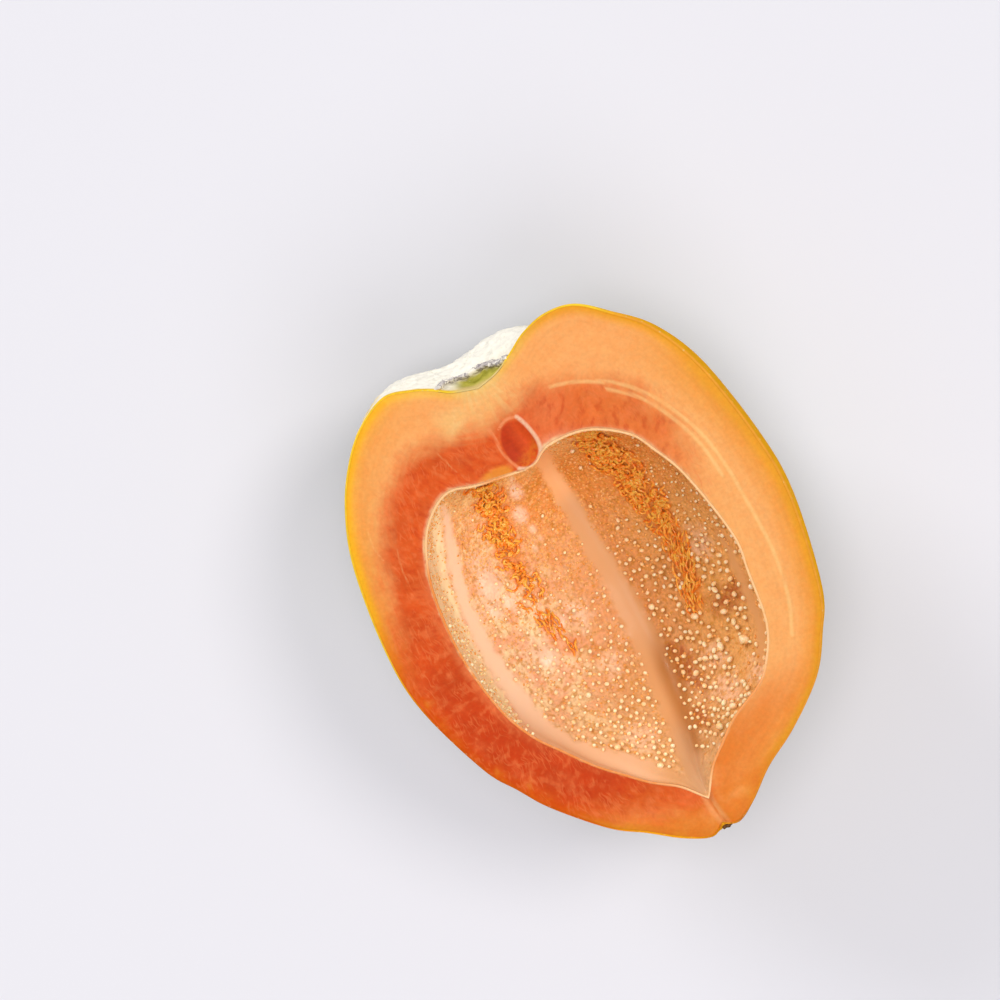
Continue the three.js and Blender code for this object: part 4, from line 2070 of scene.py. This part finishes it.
@dataclass
class PlacentaFibres:
    """Curly orange fibres in the two bands."""

    workshop: Workshop
    lining: Lining
    thickness: Pair = (0.23, 0.42)
    length: Pair = (2.2, 5.4)
    swing: Pair = (0.6, 2.4)
    waves: Pair = (0.5, 1.3)
    straightens: Pair = (14.0, 0.0)
    reach: Pair = (0.2, 0.99)
    sweep: Pair = (math.pi * 1.1, math.pi * 1.95)
    steps: int = 9
    tries: int = 16000
    seed: int = 23

    def _roots(self, band: FibreBand, draw: np.random.Generator) -> tuple[Array, Array]:
        """Draws where a band's fibres grow.

        Args:
            band: the band.
            draw: the random draw.

        Returns:
            Shares of the outline's length, and angles in radians.
        """
        share = draw.uniform(*self.reach, self.tries)
        angle = draw.uniform(*self.sweep, self.tries)
        chance = band.nearness(CAVITY.layer(share, angle))
        chosen = np.flatnonzero(draw.uniform(size=self.tries) < chance)[: band.count]
        return share[chosen], angle[chosen]

    def build(self) -> None:
        """Makes the fibres as short curled tubes."""
        draw = np.random.default_rng(self.seed)
        curve = bpy.data.curves.new("fibre_paths", "CURVE")
        curve.dimensions = "3D"
        curve.bevel_depth = 1.0
        curve.bevel_resolution = 1
        curve.use_fill_caps = True
        for band in BANDS:
            share, angle = self._roots(band, draw)
            roots = self.lining.surface(share, angle)
            outs = -CAVITY.normals(CAVITY.even(share), angle)
            for root, out in zip(roots, outs):
                self._curl(curve, Vector(root), Vector(out), draw)
        holder = bpy.data.objects.new("fibre_paths", curve)
        bpy.context.scene.collection.objects.link(holder)
        mesh = bpy.data.meshes.new_from_object(holder.evaluated_get(bpy.context.evaluated_depsgraph_get()))
        shape = bmesh.new()
        shape.from_mesh(mesh)
        bpy.data.meshes.remove(mesh)
        bpy.data.objects.remove(holder)
        bpy.data.curves.remove(curve)
        finish = Speck(
            Look.FIBRE, roughness=0.3, ior=1.4, coat=0.2, subsurface=0.3, subsurface_mm=0.8,
            first="#ffb94a", second="#f2821c", grain_mm=1.3,
        )
        self.workshop.finish(shape, "placenta_fibres", "lining", finish.material())

    def _curl(self, curve: bpy.types.Curve, root: Vector, out: Vector, draw: np.random.Generator) -> None:
        """Adds one fibre to the paths.

        Args:
            curve: the paths.
            root: where it grows, in mm.
            out: the way out of the wall.
            draw: the random draw.
        """
        length, swing, waves = (draw.uniform(*span) for span in (self.length, self.swing, self.waves))
        straight = float(smoothstep(*self.straightens, root.y))
        swing *= 1 - 0.75 * straight
        lean = math.radians(90 - 22 * straight * (root.x > 0))
        heading, phase = draw.normal(lean, 0.8 - 0.5 * straight), draw.uniform(0, ROUND)
        base, lift = draw.uniform(0.0, 0.45), draw.uniform(0.1, 0.8)
        thick = draw.uniform(*self.thickness) * (1.2 - 0.2 * straight)
        side = Vector((1, 0, 0)) - out * out.x
        side.normalize()
        other = out.cross(side)
        at = root.copy()
        spline = curve.splines.new("POLY")
        spline.points.add(self.steps)
        for step in range(self.steps + 1):
            share = step / self.steps
            turn = heading + swing * math.sin(ROUND * waves * share + phase)
            at += (side * math.cos(turn) + other * math.sin(turn)) * (length / self.steps)
            arch = math.sin(math.pi * share)
            spline.points[step].co = (*(at + out * (base + lift * arch)), 1)
            spline.points[step].radius = thick * (0.55 + 0.45 * arch)


@dataclass
class StemScar:
    """The ragged grey-white edge that the stem left, round the olive pit in its hollow."""

    workshop: Workshop
    radius: float = 9.3
    half_height: float = 0.7
    half_width: float = 1.5
    ragged: float = 0.6
    frayed: float = 0.35
    proud: float = 0.2
    under_cut: float = -0.05
    middle_angle: float = math.radians(270)
    half_sweep: float = math.radians(88.5)
    segments: int = 200
    sides: int = 14
    seed: int = 31

    def build(self) -> None:
        """Makes the torn edge as a rough strip round the pit."""
        growth = SKIN.growth
        share = np.linspace(0.7, 1.0, 300)  # the part of the skin's outline round the stem
        shape = bmesh.new()
        bmesh.ops.create_grid(shape, x_segments=self.segments, y_segments=self.sides, size=1.0)
        flat = np.array([v.co[:2] for v in shape.verts])
        noise.seed_set(self.seed)
        angle = self.middle_angle + flat[:, 0] * self.half_sweep
        turn = (flat[:, 1] + 1) * math.pi
        for vert, around, section in zip(shape.verts, angle, turn):
            profile = SKIN.profile(share, np.full(len(share), around))
            radius = self.radius * (1 + 0.05 * noise.noise(Vector((around * 4, 0, 3))))
            along = profile[np.argmin(np.abs(profile[:, 0] - radius)), 1] + self.proud
            middle = Vector(growth.place(np.array(radius), np.array(along), np.array(around)))
            outwards = Vector((math.cos(around), 0, math.sin(around)))
            tear = 1 + self.ragged * (noise.noise(middle * 0.5) + 0.6 * noise.noise(middle * 1.7))
            ends = 0.3 + 0.7 * float(smoothstep(1.0, 0.84, abs(around - self.middle_angle) / self.half_sweep))
            up = ends * self.half_height * math.sin(section) * (tear if math.sin(section) > 0 else 1)
            width = ends * self.half_width * (1 + 0.5 * noise.noise(middle * 0.7 + Vector((5, 5, 5))))
            vert.co = middle + outwards * (width * math.cos(section)) + Vector((0, up, 0))
            vert.co += noise.noise_vector(vert.co * 0.9) * self.frayed
            vert.co.z = min(vert.co.z, self.under_cut)
        bmesh.ops.remove_doubles(shape, verts=shape.verts, dist=1e-3)
        bmesh.ops.holes_fill(shape, edges=[e for e in shape.edges if e.is_boundary], sides=0)
        bmesh.ops.recalc_face_normals(shape, faces=shape.faces)
        finish = TornBark(Look.SCAR, roughness=0.8)
        self.workshop.finish(shape, "stem_scar", "skin", finish.material())


@dataclass
class BlossomScar:
    """The small dry brown scar where the blossom fell off."""

    workshop: Workshop
    centre: Trio = (0.7, -63.3, -0.9)
    stretch: Trio = (1.5, 0.55, 0.8)
    radius: float = 0.95
    roughened: float = 0.3

    def build(self) -> None:
        """Makes the scar as a flattened rough nub."""
        shape = bmesh.new()
        flat = Matrix.Translation(self.centre) @ Matrix.Diagonal((*self.stretch, 1))
        bmesh.ops.create_icosphere(shape, subdivisions=3, radius=self.radius, matrix=flat)
        for vert in shape.verts:
            vert.co += vert.normal * self.roughened * noise.noise(vert.co * 1.6)
        finish = Speck(Look.BARK, roughness=0.85, first="#3a2413", second="#6b4522", grain_mm=0.9)
        self.workshop.finish(shape, "blossom_scar", "skin", finish.material())


# ---- the studio


@dataclass(frozen=True)
class Sun:
    """One soft light from far away.

    Its direction is in degrees in the part's frame: the bearing turns from +X towards +Y.
    """

    name: str
    bearing: float
    height: float
    strength: float
    softness: float
    tint: str

    def build(self) -> None:
        """Adds the light."""
        lamp = bpy.data.lights.new(self.name, "SUN")
        lamp.energy = self.strength
        lamp.angle = math.radians(self.softness)
        lamp.color = linear(self.tint)[:3]
        bearing, height = math.radians(self.bearing), math.radians(self.height)
        level = math.cos(height)
        towards = Vector((level * math.cos(bearing), level * math.sin(bearing), math.sin(height)))
        holder = bpy.data.objects.new(self.name, lamp)
        holder.matrix_world = towards.to_track_quat("Z", "Y").to_matrix().to_4x4()
        bpy.context.scene.collection.objects.link(holder)


@dataclass
class Studio:
    """A plain pale floor, soft lights and a camera that looks down on the cut face."""

    workshop: Workshop
    suns: tuple[Sun, ...] = (
        Sun("key", 5, 50, 1.0, 20, "#fffaf3"),
        Sun("fill", -85, 52, 0.75, 40, "#ffffff"),
        Sun("overhead", 60, 80, 1.05, 30, "#ffffff"),
        Sun("stem_light", 106, 24, 1.3, 25, "#ffffff"),
    )
    ambient: float = 0.33
    sensor_width: float = 36.0
    floor_half_size: float = 4.0
    floor_colour: str = "#d9d8df"

    def _camera(self) -> None:
        """Adds the camera."""
        back = VIEW.back
        stem = (Vector((0, 1, 0)) - back * back.y).normalized()
        across = stem.cross(back)
        right = across * math.cos(VIEW.roll) - stem * math.sin(VIEW.roll)
        top = across * math.sin(VIEW.roll) + stem * math.cos(VIEW.roll)
        camera = bpy.data.objects.new("camera", bpy.data.cameras.new("camera"))
        camera.data.lens = VIEW.lens
        camera.data.sensor_width = self.sensor_width
        place = Matrix.Translation(self.workshop.to_part((*VIEW.aim, 0.0)) + back * VIEW.distance * MM)
        camera.matrix_world = place @ Matrix((right, top, back)).transposed().to_4x4()
        bpy.context.scene.collection.objects.link(camera)
        bpy.context.scene.camera = camera

    def _floor(self) -> None:
        """Adds the floor."""
        shape = bmesh.new()
        bmesh.ops.create_grid(shape, x_segments=1, y_segments=1, size=self.floor_half_size)
        mesh = bpy.data.meshes.new("floor")
        shape.to_mesh(mesh)
        shape.free()
        material = bpy.data.materials.new(Look.FLOOR.value)
        material.use_nodes = True
        shader = material.node_tree.nodes["Principled BSDF"]
        shader.inputs["Base Color"].default_value = linear(self.floor_colour)
        shader.inputs["Roughness"].default_value = 1.0
        shader.inputs["Specular IOR Level"].default_value = 0.0
        mesh.materials.append(material)
        floor = bpy.data.objects.new("floor", mesh)
        bpy.context.scene.collection.objects.link(floor)

    def build(self) -> None:
        """Sets up the camera, the lights and the floor."""
        scene = bpy.context.scene
        scene.view_settings.view_transform = "Standard"
        self._camera()
        self._floor()
        for sun in self.suns:
            sun.build()
        world = bpy.data.worlds.new("studio")
        world.use_nodes = True
        back = world.node_tree.nodes["Background"]
        back.inputs["Color"].default_value = linear("#ffffff")
        back.inputs["Strength"].default_value = self.ambient
        scene.world = world


def main() -> None:
    """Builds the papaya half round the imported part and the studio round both."""
    logging.basicConfig(level=logging.INFO, format="%(name)s %(message)s")
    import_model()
    workshop = Workshop()
    share, angle = np.meshgrid(np.linspace(0, 1, 400), np.linspace(math.pi, ROUND, 180))
    workshop.fit_to(*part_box(NODE), skin_layer(share.ravel(), angle.ravel()))
    lining = Lining(workshop)
    stalks = SeedStalks(workshop, lining)
    pearls = stalks.pearls()
    lining.pearls = tuple(pearls)
    Peel(workshop).build()
    Flesh(workshop).build()
    lining.build()
    stalks.build(pearls)
    PlacentaFibres(workshop, lining).build()
    StemScar(workshop).build()
    BlossomScar(workshop).build()
    Studio(workshop).build()


if __name__ == "__main__":
    main()
